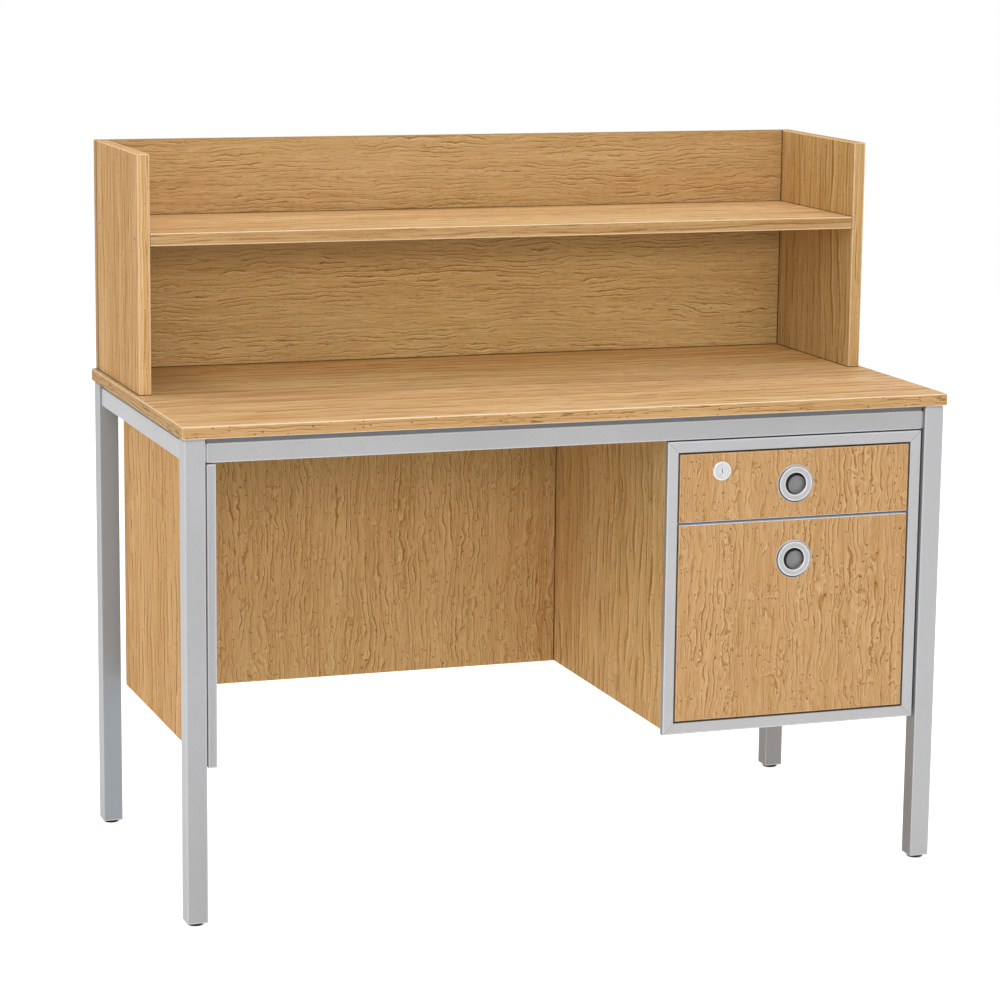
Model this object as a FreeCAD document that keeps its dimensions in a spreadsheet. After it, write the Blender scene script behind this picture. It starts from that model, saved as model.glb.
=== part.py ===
import FreeCAD, Part
import os
import Sketcher

# Student desk with hutch.  Millimetres, +Z up, the front faces -Y.
# The document's origin is on the floor, under the middle of the desktop.
# Positions below are written from the desktop's left edge (x), its front
# edge (y) and the floor (z); place() moves them to the document's origin.

V = FreeCAD.Vector
doc = FreeCAD.newDocument("student_desk")
sheet = doc.addObject("Spreadsheet::Sheet", "dims")


class Q:
    """A size: its number, and the same size as a spreadsheet expression."""

    def __init__(self, v, e):
        self.v = float(v)
        self.e = e

    def _op(self, o, sign, v, swap=False):
        a, b = (o.e, self.e) if swap else (self.e, o.e)
        return Q(v, "(%s %s %s)" % (a, sign, b))

    def __add__(self, o):
        o = q(o)
        return self._op(o, "+", self.v + o.v)

    def __sub__(self, o):
        o = q(o)
        return self._op(o, "-", self.v - o.v)

    def __mul__(self, o):
        o = q(o)
        return self._op(o, "*", self.v * o.v)

    def __truediv__(self, o):
        o = q(o)
        return self._op(o, "/", self.v / o.v)

    def __radd__(self, o):
        return q(o) + self

    def __rsub__(self, o):
        return q(o) - self

    def __rmul__(self, o):
        return q(o) * self

    def __neg__(self):
        return q(0) - self


def q(x):
    if isinstance(x, Q):
        return x
    return Q(x, "%.6f" % float(x))


ROW = [0]


def dim(alias, value, note):
    ROW[0] += 1
    r = ROW[0]
    sheet.set("A%d" % r, note)
    sheet.set("B%d" % r, "%g" % value)
    sheet.setAlias("B%d" % r, alias)
    return Q(value, "dims." + alias)


# ---------------------------------------------------------------- dimensions
desk_w = dim("desk_w", 1219, "desktop width")
desk_d = dim("desk_d", 610, "desktop depth")
desk_z = dim("desk_z", 749, "height of the desktop surface")
desk_t = dim("desk_t", 19, "desktop thickness")
edge_t = dim("edge_t", 3, "thickness of the desktop edging")
edge_corner = dim("edge_corner", 3, "plan radius of the desktop corners")
edge_arris = dim("edge_arris", 0.8, "rounding of board edges")
edge_round = dim("edge_round", 2.2, "rounding of the desktop edging")
leg_side = dim("leg_side", 31.75, "side of the square leg tube")
leg_wall = dim("leg_wall", 1.5, "wall of the leg tube")
leg_corner = dim("leg_corner", 2.5, "corner radius of the leg tube")
leg_inset = dim("leg_inset", 4, "leg face behind the desktop edge")
leg_bottom = dim("leg_bottom", 7, "height of the leg tube's lower end")
plate_side = dim("plate_side", 70, "side of the leg mounting plate")
plate_t = dim("plate_t", 3, "thickness of the leg mounting plate")
plate_set = dim("plate_set", 10, "plate's edge behind the leg faces, beside the leg")
cap_t = dim("cap_t", 2, "flange thickness of the leg end cap")
cap_plug = dim("cap_plug", 24, "length of the leg end cap's plug")
cap_clear = dim("cap_clear", 0.2, "clearance of the plug in the tube")
glide_r = dim("glide_r", 12.5, "radius of the glide's foot")
glide_t = dim("glide_t", 4.6, "height of the glide's foot")
stud_r = dim("stud_r", 3.95, "radius of the glide's stud")
stud_top = dim("stud_top", 46, "height of the stud's upper end")
stud_bore = dim("stud_bore", 4.0, "radius of the thread in the end cap")
rail_h = dim("rail_h", 29, "height of the rails")
rail_d = dim("rail_d", 20, "depth of the rails")
rail_wall = dim("rail_wall", 1.5, "wall of the rails")
rail_corner = dim("rail_corner", 2, "corner radius of the rails")
rail_top = dim("rail_top", 722.5, "height of the rails' upper face")
rail_gap = dim("rail_gap", 2.5, "gap between a rail's end and the leg")
rail_back = dim("rail_back", 6, "front rail face behind the leg face")
rail_side = dim("rail_side", 4, "side rail face behind the leg face")
spigot_in = dim("spigot_in", 26, "spigot length inside the rail")
spacer_back = dim("spacer_back", 2, "spacer strip's edge behind the rail's face")
spacer_bore = dim("spacer_bore", 3.4, "radius of the holes in the spacer strips")
access_r = dim("access_r", 6, "radius of the driver holes under the rails")
wood_screw_r = dim("wood_screw_r", 2, "shank radius of the short screws")
wood_screw_in = dim("wood_screw_in", 12, "length of the short screws in wood")
head_r = dim("head_r", 4, "head radius of the short screws")
head_t = dim("head_t", 1.8, "head height of the short screws")
rail_screw_r = dim("rail_screw_r", 2.5, "shank radius of the rail screws")
rail_screw_top = dim("rail_screw_top", 744, "height of the rail screws' tips")
bolt_r = dim("bolt_r", 3, "shank radius of the hutch bolts")
bolt_top = dim("bolt_top", 773.5, "height of the hutch bolts' tips")
bolt_head_r = dim("bolt_head_r", 4.9, "head radius of the hutch bolts")
hole_clear = dim("hole_clear", 0.05, "radial room round a screw")
panel_t = dim("panel_t", 16, "thickness of panels and carcass boards")
panel_z = dim("panel_z", 240, "height of the panels' lower edges")
panel_top = dim("panel_top", 724, "height of the panels' upper edges")
end_x = dim("end_x", 36.5, "outer face of the left end panel")
end_back = dim("end_back", 543, "rear edge of the end panel and the carcass")
modesty_y = dim("modesty_y", 503, "front face of the modesty panel")
bar_w = dim("bar_w", 14, "width of the bar in front of the end panel")
bar_y = dim("bar_y", 10, "front face of that bar")
bar_d = dim("bar_d", 10, "depth of that bar")
bar_z = dim("bar_z", 239, "lower end of that bar")
bracket_l = dim("bracket_l", 22, "leg length of the angle brackets")
bracket_w = dim("bracket_w", 30, "width of the angle brackets")
bracket_t = dim("bracket_t", 2, "thickness of the angle brackets")
bracket_hole = dim("bracket_hole", 13, "hole distance from the bracket's corner")
ped_x = dim("ped_x", 758.5, "outer face of the carcass's left side")
ped_w = dim("ped_w", 419, "width of the carcass")
ped_y = dim("ped_y", 20, "front edges of the carcass")
ped_top_z = dim("ped_top_z", 673, "underside of the carcass's top")
ped_bottom_t = dim("ped_bottom_t", 12, "thickness of the carcass's bottom")
ped_back_t = dim("ped_back_t", 12, "thickness of the carcass's back")
frame_x = dim("frame_x", 756, "left edge of the pedestal's metal frame")
frame_w = dim("frame_w", 424, "width of the metal frame")
frame_z = dim("frame_z", 234, "lower edge of the metal frame")
frame_top = dim("frame_top", 691.5, "upper edge of the metal frame")
frame_bar = dim("frame_bar", 17.5, "bar width of the metal frame")
frame_d = dim("frame_d", 10, "bar depth of the metal frame")
frame_wall = dim("frame_wall", 1.6, "sheet thickness of the metal frame")
front_y = dim("front_y", 10, "face of the drawer fronts")
front_t = dim("front_t", 18, "thickness of the drawer fronts")
reveal = dim("reveal", 3, "gap round the drawer fronts")
up_z0 = dim("up_z0", 565.5, "lower edge of the upper drawer front")
up_z1 = dim("up_z1", 671, "upper edge of the upper drawer front")
lo_z0 = dim("lo_z0", 254.5, "lower edge of the lower drawer front")
lo_z1 = dim("lo_z1", 561.5, "upper edge of the lower drawer front")
div_z0 = dim("div_z0", 556, "lower face of the divider channel")
div_z1 = dim("div_z1", 571, "upper face of the divider channel")
div_y = dim("div_y", 29.5, "front face of the divider channel")
div_d = dim("div_d", 18, "depth of the divider channel")
box_t = dim("box_t", 12, "thickness of the drawer boxes' sides")
box_l = dim("box_l", 450, "length of the drawer boxes")
box_base = dim("box_base", 6, "thickness of the drawer bottoms")
groove_in = dim("groove_in", 6, "depth of the grooves for the bottoms")
up_box_z0 = dim("up_box_z0", 576, "lower edge of the upper box")
up_box_z1 = dim("up_box_z1", 664, "upper edge of the upper box")
lo_box_z0 = dim("lo_box_z0", 262, "lower edge of the lower box")
lo_box_z1 = dim("lo_box_z1", 520, "upper edge of the lower box")
base_up = dim("base_up", 8, "bottom panel above the box's lower edge")
slide_gap = dim("slide_gap", 12.7, "room for a slide beside a drawer box")
slide_len = dim("slide_len", 446, "length of the slide members")
slide_y = dim("slide_y", 32, "front end of the slide members")
slide_sheet = dim("slide_sheet", 1.4, "sheet thickness of the slides")
up_slide_z = dim("up_slide_z", 620, "centre height of the upper slides")
lo_slide_z = dim("lo_slide_z", 400, "centre height of the lower slides")
pull_x = dim("pull_x", 968, "centre of the pulls")
up_pull_z = dim("up_pull_z", 618, "centre height of the upper pull")
lo_pull_z = dim("lo_pull_z", 500, "centre height of the lower pull")
pull_r = dim("pull_r", 30, "outer radius of the pull's ring")
pull_hole = dim("pull_hole", 17, "inner radius of the pull's ring")
pull_out = dim("pull_out", 3, "height of the ring above the front")
cup_r = dim("cup_r", 24.8, "outer radius of the pull's cup")
cup_d = dim("cup_d", 10, "depth of the pull's cup")
cup_wall = dim("cup_wall", 1.2, "wall of the pull's cup")
lock_x = dim("lock_x", 845, "centre of the lock")
lock_z = dim("lock_z", 643.5, "centre height of the lock")
lock_face_r = dim("lock_face_r", 15, "radius of the lock's face ring")
lock_out = dim("lock_out", 2.6, "height of the lock's face above the front")
barrel_r = dim("barrel_r", 9.4, "radius of the lock's barrel")
barrel_end = dim("barrel_end", 45, "rear end of the lock's barrel")
plug_r = dim("plug_r", 6, "radius of the turning plug")
plug_clear = dim("plug_clear", 0.05, "radial room round the plug")
cam_l = dim("cam_l", 27.5, "reach of the lock's cam")
cam_w = dim("cam_w", 12, "width of the lock's cam")
cam_t = dim("cam_t", 2, "thickness of the lock's cam")
hutch_top = dim("hutch_top", 1115, "height of the hutch's upper edge")
hutch_d = dim("hutch_d", 305, "depth of the hutch")
hutch_t = dim("hutch_t", 19, "thickness of the hutch's boards")
hutch_in = dim("hutch_in", 8, "hutch side behind the desktop's side")
shelf_top = dim("shelf_top", 995, "height of the shelf's upper face")
shelf_back = dim("shelf_back", 1, "shelf edge behind the hutch's front")
pin_r = dim("pin_r", 2.4, "radius of the hutch's connecting pins")
pin_len = dim("pin_len", 42, "length of the connecting pins")
pin_out = dim("pin_out", 0.4, "height of a pin's head above the board")
doc.recompute()

# ------------------------------------------------------------- small helpers
TAKEN = {}


def uname(base):
    TAKEN[base] = TAKEN.get(base, 0) + 1
    return "%s_%d" % (base, TAKEN[base])


def place(obj, at, turn=None):
    """Set an object at a position given from the desktop's front left corner."""
    x, y, z = q(at[0]) - desk_w / 2, q(at[1]) - desk_d / 2, q(at[2])
    rot = FreeCAD.Rotation()
    if turn is not None:
        rot = FreeCAD.Rotation(V(*turn[0]), turn[1])
    obj.Placement = FreeCAD.Placement(V(x.v, y.v, z.v), rot)
    for axis, val in (("x", x), ("y", y), ("z", z)):
        obj.setExpression(".Placement.Base." + axis, val.e)


def new_body(name, at, turn=None):
    b = doc.addObject("PartDesign::Body", name)
    b.Label = name
    place(b, at, turn)
    return b


def sketch(b, plane, at):
    """An empty sketch on the body's own origin plane, moved along its normal."""
    sk = b.newObject("Sketcher::SketchObject", uname(b.Name + "_sketch"))
    ref = [f for f in b.Origin.OriginFeatures if f.Role == plane + "_Plane"][0]
    sk.AttachmentSupport = [(ref, "")]
    sk.MapMode = "FlatFace"
    off = -q(at) if plane == "XZ" else q(at)
    sk.AttachmentOffset = FreeCAD.Placement(V(0, 0, off.v), FreeCAD.Rotation())
    sk.setExpression(".AttachmentOffset.Base.z", off.e)
    return sk


def tie(cons, binds, first, g, p, a, b):
    """Fix point p of geometry g at (a, b) from the sketch's origin."""
    if a.v == 0:
        cons.append(Sketcher.Constraint("PointOnObject", g, p, -2))
    else:
        cons.append(Sketcher.Constraint("DistanceX", -1, 1, g, p, a.v))
        binds.append((first + len(cons) - 1, a))
    if b.v == 0:
        cons.append(Sketcher.Constraint("PointOnObject", g, p, -1))
    else:
        cons.append(Sketcher.Constraint("DistanceY", -1, 1, g, p, b.v))
        binds.append((first + len(cons) - 1, b))


def add_poly(sk, pts):
    pts = [(q(a), q(b)) for a, b in pts]
    n = len(pts)
    g0 = sk.GeometryCount
    first = sk.ConstraintCount
    sk.addGeometry([Part.LineSegment(V(pts[i][0].v, pts[i][1].v, 0),
                                     V(pts[(i + 1) % n][0].v, pts[(i + 1) % n][1].v, 0))
                    for i in range(n)], False)
    cons, binds = [], []
    for i in range(n):
        cons.append(Sketcher.Constraint("Coincident", g0 + i, 2, g0 + (i + 1) % n, 1))
    for i in range(n):
        tie(cons, binds, first, g0 + i, 1, pts[i][0], pts[i][1])
    sk.addConstraint(cons)
    for k, val in binds:
        sk.setExpression("Constraints[%d]" % k, val.e)


def add_disc(sk, cx, cy, r):
    cx, cy, r = q(cx), q(cy), q(r)
    g = sk.GeometryCount
    first = sk.ConstraintCount
    sk.addGeometry(Part.Circle(V(cx.v, cy.v, 0), V(0, 0, 1), r.v), False)
    cons, binds = [Sketcher.Constraint("Radius", g, r.v)], [(first, r)]
    tie(cons, binds, first, g, 3, cx, cy)
    sk.addConstraint(cons)
    for k, val in binds:
        sk.setExpression("Constraints[%d]" % k, val.e)


def draw(sk, shapes):
    for s in shapes:
        if s[0] == "rect":
            _, x0, y0, x1, y1 = s
            add_poly(sk, [(x0, y0), (x1, y0), (x1, y1), (x0, y1)])
        elif s[0] == "disc":
            add_disc(sk, s[1], s[2], s[3])
        else:
            add_poly(sk, s[1])


def pad(b, plane, a, z, shapes):
    """Material from a to z along the plane's own positive axis."""
    sk = sketch(b, plane, a)
    draw(sk, shapes)
    f = b.newObject("PartDesign::Pad", uname(b.Name + "_pad"))
    f.Profile = sk
    length = q(z) - q(a)
    f.Length = length.v
    f.setExpression("Length", length.e)
    f.Reversed = plane == "XZ"
    return f


def pocket(b, plane, a, z, shapes):
    """A cut from a to z along the plane's own positive axis."""
    doc.recompute()
    before = b.Tip.Shape.Volume
    sk = sketch(b, plane, a)
    draw(sk, shapes)
    f = b.newObject("PartDesign::Pocket", uname(b.Name + "_pocket"))
    f.Profile = sk
    length = q(z) - q(a)
    f.Length = length.v
    f.setExpression("Length", length.e)
    f.Reversed = plane != "XZ"
    doc.recompute()
    if not f.Shape.Volume < before - 1e-3:
        raise RuntimeError("nothing cut by " + f.Name)
    return f


def turned(b, pts):
    """A body of revolution about its own Z axis, from (radius, height) points."""
    sk = sketch(b, "XZ", 0)
    add_poly(sk, pts)
    f = b.newObject("PartDesign::Revolution", uname(b.Name + "_turned"))
    f.Profile = sk
    f.ReferenceAxis = (sk, ["V_Axis"])
    f.Angle = 360
    return f


def rounded(b, radius, pick, kind="Fillet"):
    """Round or chamfer the edges that pick() chooses on the body as it stands."""
    doc.recompute()
    base = b.Tip
    names = ["Edge%d" % (i + 1) for i, e in enumerate(base.Shape.Edges) if pick(e)]
    if not names:
        raise RuntimeError("no edges to round on " + b.Name)
    f = b.newObject("PartDesign::" + kind, uname(b.Name + "_" + kind.lower()))
    f.Base = (base, names)
    radius = q(radius)
    prop = "Radius" if kind == "Fillet" else "Size"
    setattr(f, prop, radius.v)
    f.setExpression(prop, radius.e)
    doc.recompute()
    return f


def mid(e):
    return e.valueAt((e.FirstParameter + e.LastParameter) / 2)


def along(axis):
    """Chooses straight edges that run along x, y or z."""
    k = "xyz".index(axis)

    def test(e):
        if not isinstance(e.Curve, Part.Line):
            return False
        d = e.Curve.Direction
        return abs((d.x, d.y, d.z)[k]) > 0.999
    return test


def near(value, target, tol=0.02):
    return abs(value - target) < tol


def copy_of(master, at, turn=None):
    link = doc.addObject("App::Link", uname(master.Name + "_copy"))
    link.LinkedObject = master
    place(link, at, turn)
    return link


NODES = []


def node(obj, name=None):
    if name:
        obj.Label = name
    NODES.append(obj)
    return obj


def group(name, members):
    c = doc.addObject("Part::Compound", name)
    c.Links = members
    c.Label = name
    NODES.append(c)
    return c


def board(name, x0, y0, z0, x1, y1, z1):
    """A rectangular board with its own origin at its lowest corner."""
    x0, y0, z0, x1, y1, z1 = [q(t) for t in (x0, y0, z0, x1, y1, z1)]
    b = new_body(name, (x0, y0, z0))
    pad(b, "XY", 0, z1 - z0, [("rect", 0, 0, x1 - x0, y1 - y0)])
    return b


desk_under = desk_z - desk_t
ZA = (0, 0, 1)

# -------------------------------------------- positions of the fixings (x, y)
leg_in = leg_inset + leg_side
rail_bottom = rail_top - rail_h
front_rail_y = leg_inset + rail_back
rear_rail_y = desk_d - leg_inset - rail_back - rail_d
left_rail_x = leg_inset + rail_side
right_rail_x = desk_w - leg_inset - rail_side - rail_d
front_rail_mid = front_rail_y + rail_d / 2
rear_rail_mid = rear_rail_y + rail_d / 2
front_screws = [(q(x), front_rail_mid) for x in (120, 400, 680)]
rear_screws = [(q(x), rear_rail_mid) for x in (120, 400, 819, 1099)]
bolt_x = left_rail_x + rail_d / 2 - 0.5
left_bolts = [(bolt_x, q(y)) for y in (345, 505)]
right_bolts = [(desk_w - bolt_x, q(y)) for y in (345, 505)]
plate_screws = []
for mx in (0, 1):
    for my in (0, 1):
        for a, b_ in ((44, 44), (64, 44), (44, 64), (64, 64)):
            plate_screws.append((desk_w - a if mx else q(a), desk_d - b_ if my else q(b_)))
modesty_back = modesty_y + panel_t
end_in = end_x + panel_t
ped_x1 = ped_x + ped_w
ped_in0 = ped_x + panel_t
ped_in1 = ped_x1 - panel_t
# Angle brackets under the desktop: a point on the panel's face, the direction
# the bracket leaves it, and its turn about the vertical.
top_brackets = [
    ("+x", end_in, q(150)), ("+x", end_in, q(430)),
    ("+y", q(150), modesty_back), ("+y", q(400), modesty_back), ("+y", q(650), modesty_back),
    ("+x", ped_in0, q(120)), ("+x", ped_in0, q(420)),
    ("-x", ped_in1, q(120)), ("-x", ped_in1, q(420)),
]
TURN = {"+x": None, "+y": (ZA, 90), "-x": (ZA, 180)}


def out_of(kind, x, y, dist):
    if kind == "+x":
        return x + dist, y
    if kind == "-x":
        return x - dist, y
    return x, y + dist


bracket_desk_screws = [out_of(k, x, y, bracket_hole) for k, x, y in top_brackets]
bracket_z = desk_under - bracket_hole
corner_z = (q(300), q(600))

# -------------------------------------------------------------------- desktop
ex, ey = edge_t, edge_t
b = board("desktop_board", ex, ey, desk_under, desk_w - ex, desk_d - ey, desk_z)
pocket(b, "XY", 0, 14, [("disc", x - ex, y - ey, rail_screw_r + hole_clear)
                        for x, y in front_screws + rear_screws])
pocket(b, "XY", 0, wood_screw_in + 1, [("disc", x - ex, y - ey, wood_screw_r + hole_clear)
                                       for x, y in plate_screws + bracket_desk_screws])
pocket(b, "XY", 0, desk_t, [("disc", x - ex, y - ey, bolt_r + hole_clear)
                            for x, y in left_bolts + right_bolts])
node(b)

# Edging: a long strip along the front and the rear, which take the rounded
# corners, and a short strip between them at each side.
long_strip = new_body("edging_long", (0, 0, desk_under))
pad(long_strip, "XY", 0, desk_t, [("rect", 0, 0, desk_w, edge_t)])
rounded(long_strip, edge_corner - 0.05, lambda e: along("z")(e) and near(mid(e).y, 0))
rounded(long_strip, edge_round, lambda e: near(mid(e).z, 0) or near(mid(e).z, desk_t.v)
        if mid(e).y < edge_t.v - 0.01 else False)
rear_strip = copy_of(long_strip, (desk_w, desk_d, desk_under), (ZA, 180))
short_strip = new_body("edging_short", (0, edge_t, desk_under))
pad(short_strip, "XY", 0, desk_t, [("rect", 0, 0, edge_t, desk_d - 2 * edge_t)])
rounded(short_strip, edge_round, lambda e: along("y")(e) and near(mid(e).x, 0))
right_strip = copy_of(short_strip, (desk_w, desk_d - edge_t, desk_under), (ZA, 180))
group("desktop_edging", [long_strip, rear_strip, short_strip, right_strip])

# ----------------------------------------------------------------------- legs
leg_top = desk_under - plate_t
far_x = desk_w - leg_in
far_y = desk_d - leg_in
corners = [("front_left", leg_inset, leg_inset), ("front_right", far_x, leg_inset),
           ("rear_left", leg_inset, far_y), ("rear_right", far_x, far_y)]
plate_hole_at = [(a - leg_inset, b_ - leg_inset) for a, b_ in ((44, 44), (64, 44), (44, 64), (64, 64))]
far_left, near_front = desk_w - leg_inset, desk_d - leg_inset
leg_turns = [("front_left", leg_inset, leg_inset, None), ("front_right", far_left, leg_inset, (ZA, 90)),
             ("rear_left", leg_inset, near_front, (ZA, -90)), ("rear_right", far_left, near_front, (ZA, 180))]
tube_l = leg_top - leg_bottom
for tag, lx, ly, turn in leg_turns:
    # Square tube with its mounting plate welded on top, screwed to the desktop.
    b = new_body("leg_" + tag, (lx, ly, leg_bottom), turn)
    pad(b, "XY", 0, tube_l, [("rect", 0, 0, leg_side, leg_side)])
    rounded(b, leg_corner, along("z"))
    pocket(b, "XY", 0, tube_l, [("rect", leg_wall, leg_wall, leg_side - leg_wall, leg_side - leg_wall)])
    pad(b, "XY", tube_l, tube_l + plate_t, [("poly", [
        (1, 1), (leg_side - 1, 1), (leg_side - 1, plate_set), (plate_side, plate_set), (plate_side, plate_side),
        (plate_set, plate_side), (plate_set, leg_side - 1), (1, leg_side - 1)])])
    rounded(b, 5, lambda e: along("z")(e) and mid(e).z > tube_l.v and max(mid(e).x, mid(e).y) > plate_side.v - 1)
    rounded(b, 2, lambda e: along("z")(e) and mid(e).z > tube_l.v and mid(e).x < 1.5 and mid(e).y < 1.5)
    pocket(b, "XY", tube_l, tube_l + plate_t, [("disc", x, y, wood_screw_r + 0.3) for x, y in plate_hole_at])
    node(b)

# End caps: a flange as large as the tube, a plug inside it, a threaded bore.
cap_z = leg_bottom - cap_t
cap = new_body("end_cap", (leg_inset, leg_inset, cap_z))
pad(cap, "XY", 0, cap_t, [("rect", 0, 0, leg_side, leg_side)])
rounded(cap, leg_corner, along("z"))
rounded(cap, 0.8, lambda e: near(mid(e).z, 0), "Chamfer")
plug_in = leg_wall + cap_clear
pad(cap, "XY", cap_t, cap_t + cap_plug, [("rect", plug_in, plug_in, leg_side - plug_in, leg_side - plug_in)])
pocket(cap, "XY", 0, cap_t + cap_plug, [("disc", leg_side / 2, leg_side / 2, stud_bore)])
group("leg_end_caps", [cap] + [copy_of(cap, (lx, ly, cap_z)) for tag, lx, ly in corners[1:]])

# Levelling glides: a low domed foot with its stud, one for each leg.
for tag, lx, ly in corners:
    b = new_body("glide_" + tag, (lx + leg_side / 2, ly + leg_side / 2, 0))
    turned(b, [(0, 0), (glide_r - 1.6, 0), (glide_r, 1.4), (glide_r, 2.2), (glide_r - 1.2, 3.8),
               (glide_r - 3.5, glide_t), (stud_r, glide_t), (stud_r, stud_top - 1), (stud_r - 1, stud_top),
               (0, stud_top)])
    node(b)

# ---------------------------------------------------------------------- rails
long_rail = desk_w - 2 * leg_in - 2 * rail_gap
side_rail = desk_d - 2 * leg_in - 2 * rail_gap


def rail(name, x0, y0, axis, length, holes, hole_r):
    b = new_body(name, (x0, y0, rail_bottom))
    plane = "YZ" if axis == "x" else "XZ"
    pad(b, plane, 0, length, [("rect", 0, 0, rail_d, rail_h)])
    rounded(b, rail_corner, along(axis))
    cross = "y" if axis == "x" else "x"
    rounded(b, 1.4, lambda e: along(cross)(e) and near(mid(e).z, rail_h.v))
    pocket(b, plane, 0, length, [("rect", rail_wall, rail_wall, rail_d - rail_wall, rail_h - rail_wall)])
    pocket(b, "XY", rail_h - rail_wall - 1, rail_h, [("disc", x - x0, y - y0, hole_r) for x, y in holes])
    pocket(b, "XY", 0, rail_wall + 1, [("disc", x - x0, y - y0, access_r) for x, y in holes])
    return node(b)


rail("front_rail", leg_in + rail_gap, front_rail_y, "x", long_rail, front_screws, rail_screw_r + 0.3)
rail("rear_rail", leg_in + rail_gap, rear_rail_y, "x", long_rail, rear_screws, rail_screw_r + 0.3)
rail("left_rail", left_rail_x, leg_in + rail_gap, "y", side_rail, left_bolts, bolt_r + 0.2)
rail("right_rail", right_rail_x, leg_in + rail_gap, "y", side_rail, right_bolts, bolt_r + 0.2)

# Spigots welded to the legs carry the rail ends and bridge the gap.
sp_clear = rail_wall + 0.2
spigot = new_body("spigot", (leg_in, front_rail_y + sp_clear, rail_bottom + sp_clear))
pad(spigot, "YZ", 0, rail_gap + spigot_in, [("rect", 0, 0, rail_d - 2 * sp_clear, rail_h - 2 * sp_clear)])
pocket(spigot, "YZ", 0, rail_gap + spigot_in, [("rect", 2, 2, rail_d - 2 * sp_clear - 2, rail_h - 2 * sp_clear - 2)])
sz = rail_bottom + sp_clear
group("rail_spigots", [
    spigot,
    copy_of(spigot, (far_x, front_rail_y + rail_d - sp_clear, sz), (ZA, 180)),
    copy_of(spigot, (leg_in, rear_rail_y + sp_clear, sz)),
    copy_of(spigot, (far_x, rear_rail_y + rail_d - sp_clear, sz), (ZA, 180)),
    copy_of(spigot, (left_rail_x + rail_d - sp_clear, leg_in, sz), (ZA, 90)),
    copy_of(spigot, (left_rail_x + sp_clear, far_y, sz), (ZA, -90)),
    copy_of(spigot, (right_rail_x + rail_d - sp_clear, leg_in, sz), (ZA, 90)),
    copy_of(spigot, (right_rail_x + sp_clear, far_y, sz), (ZA, -90))])

# A spacer strip on each rail holds it off the desktop and fills the dark gap.
head_z = rail_top - rail_wall


def spacer_strip(x0, y0, axis, length, holes, outer):
    """A strip along a rail; its top is cut away over the legs' plates, but for
    a skin on the outer side."""
    b = new_body("spacer_strip", (x0, y0, rail_top))
    wide = rail_d - 2 * spacer_back
    tall = desk_under - rail_top
    start, side, whole = (x0, y0, desk_d) if axis == "x" else (y0, x0, desk_w)
    plate_end = leg_inset + plate_side + 0.5 - start
    edge = leg_inset + plate_set - 0.4
    a0, a1 = (edge - side, wide) if outer == "low" else (0, whole - edge - side)

    def across(c0, c1, d0, d1):
        return ("rect", c0, d0, c1, d1) if axis == "x" else ("rect", d0, c0, d1, c1)

    pad(b, "XY", 0, tall, [across(0, length, 0, wide)])
    pocket(b, "XY", 0, tall, [("disc", x - x0, y - y0, spacer_bore) for x, y in holes])
    pocket(b, "XY", leg_top - rail_top, tall, [across(0, plate_end, a0, a1), across(length - plate_end, length, a0, a1)])
    return b


rail_0 = leg_in + rail_gap
group("rail_spacers", [
    spacer_strip(rail_0, front_rail_y + spacer_back, "x", long_rail, front_screws, "low"),
    spacer_strip(rail_0, rear_rail_y + spacer_back, "x", long_rail, rear_screws, "high"),
    spacer_strip(left_rail_x + spacer_back, rail_0, "y", side_rail, left_bolts, "low"),
    spacer_strip(right_rail_x + spacer_back, rail_0, "y", side_rail, right_bolts, "high")])

# Rail screws, set inside the rails and driven up through the strips into the
# desktop; the driver reaches them through the holes underneath.
rs = new_body("rail_screw", (front_screws[0][0], front_screws[0][1], head_z))
turned(rs, [(0, -2.6), (3.6, -2.6), (4.6, -1.4), (4.6, 0), (rail_screw_r, 0),
            (rail_screw_r, rail_screw_top - head_z - 3), (0.4, rail_screw_top - head_z),
            (0, rail_screw_top - head_z)])
group("rail_screws", [rs] + [copy_of(rs, (x, y, head_z)) for x, y in (front_screws + rear_screws)[1:]])

# Bolts through the side rails and the desktop hold the hutch down.
hb = new_body("hutch_bolt", (left_bolts[0][0], left_bolts[0][1], head_z))
turned(hb, [(0, -4), (2.2, -4), (4.2, -3.4), (bolt_head_r, -1.6), (bolt_head_r, 0), (bolt_r, 0),
            (bolt_r, bolt_top - head_z), (0, bolt_top - head_z)])
group("hutch_bolts", [hb] + [copy_of(hb, (x, y, head_z)) for x, y in (left_bolts + right_bolts)[1:]])

# ------------------------------------------------- short screws and brackets
# The same screw holds the leg plates and both legs of every bracket.
bs = new_body("short_screw", (bracket_desk_screws[0][0], bracket_desk_screws[0][1], desk_under - bracket_t))
turned(bs, [(0, -head_t), (2.4, -head_t), (head_r, -0.6), (head_r, 0), (wood_screw_r, 0),
            (wood_screw_r, wood_screw_in - 1), (0.4, wood_screw_in + 1.5), (0, wood_screw_in + 1.5)])
bscrews = [bs] + [copy_of(bs, (x, y, desk_under - bracket_t)) for x, y in bracket_desk_screws[1:]]
bscrews += [copy_of(bs, (x, y, leg_top)) for x, y in plate_screws]
INTO = {"+x": ((0, 1, 0), -90), "-x": ((0, 1, 0), 90), "+y": ((1, 0, 0), 90)}
for k, x, y in top_brackets:
    sx, sy = out_of(k, x, y, bracket_t)
    bscrews.append(copy_of(bs, (sx, sy, bracket_z), INTO[k]))
for cz in corner_z:
    bscrews.append(copy_of(bs, (end_in + bracket_t, modesty_back + bracket_hole, cz), ((0, 1, 0), -90)))
    bscrews.append(copy_of(bs, (end_in + bracket_hole, modesty_back + bracket_t, cz), ((1, 0, 0), 90)))
    bscrews.append(copy_of(bs, (ped_x - bracket_t, modesty_back + bracket_hole, cz), ((0, 1, 0), 90)))
    bscrews.append(copy_of(bs, (ped_x - bracket_hole, modesty_back + bracket_t, cz), ((1, 0, 0), 90)))
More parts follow.
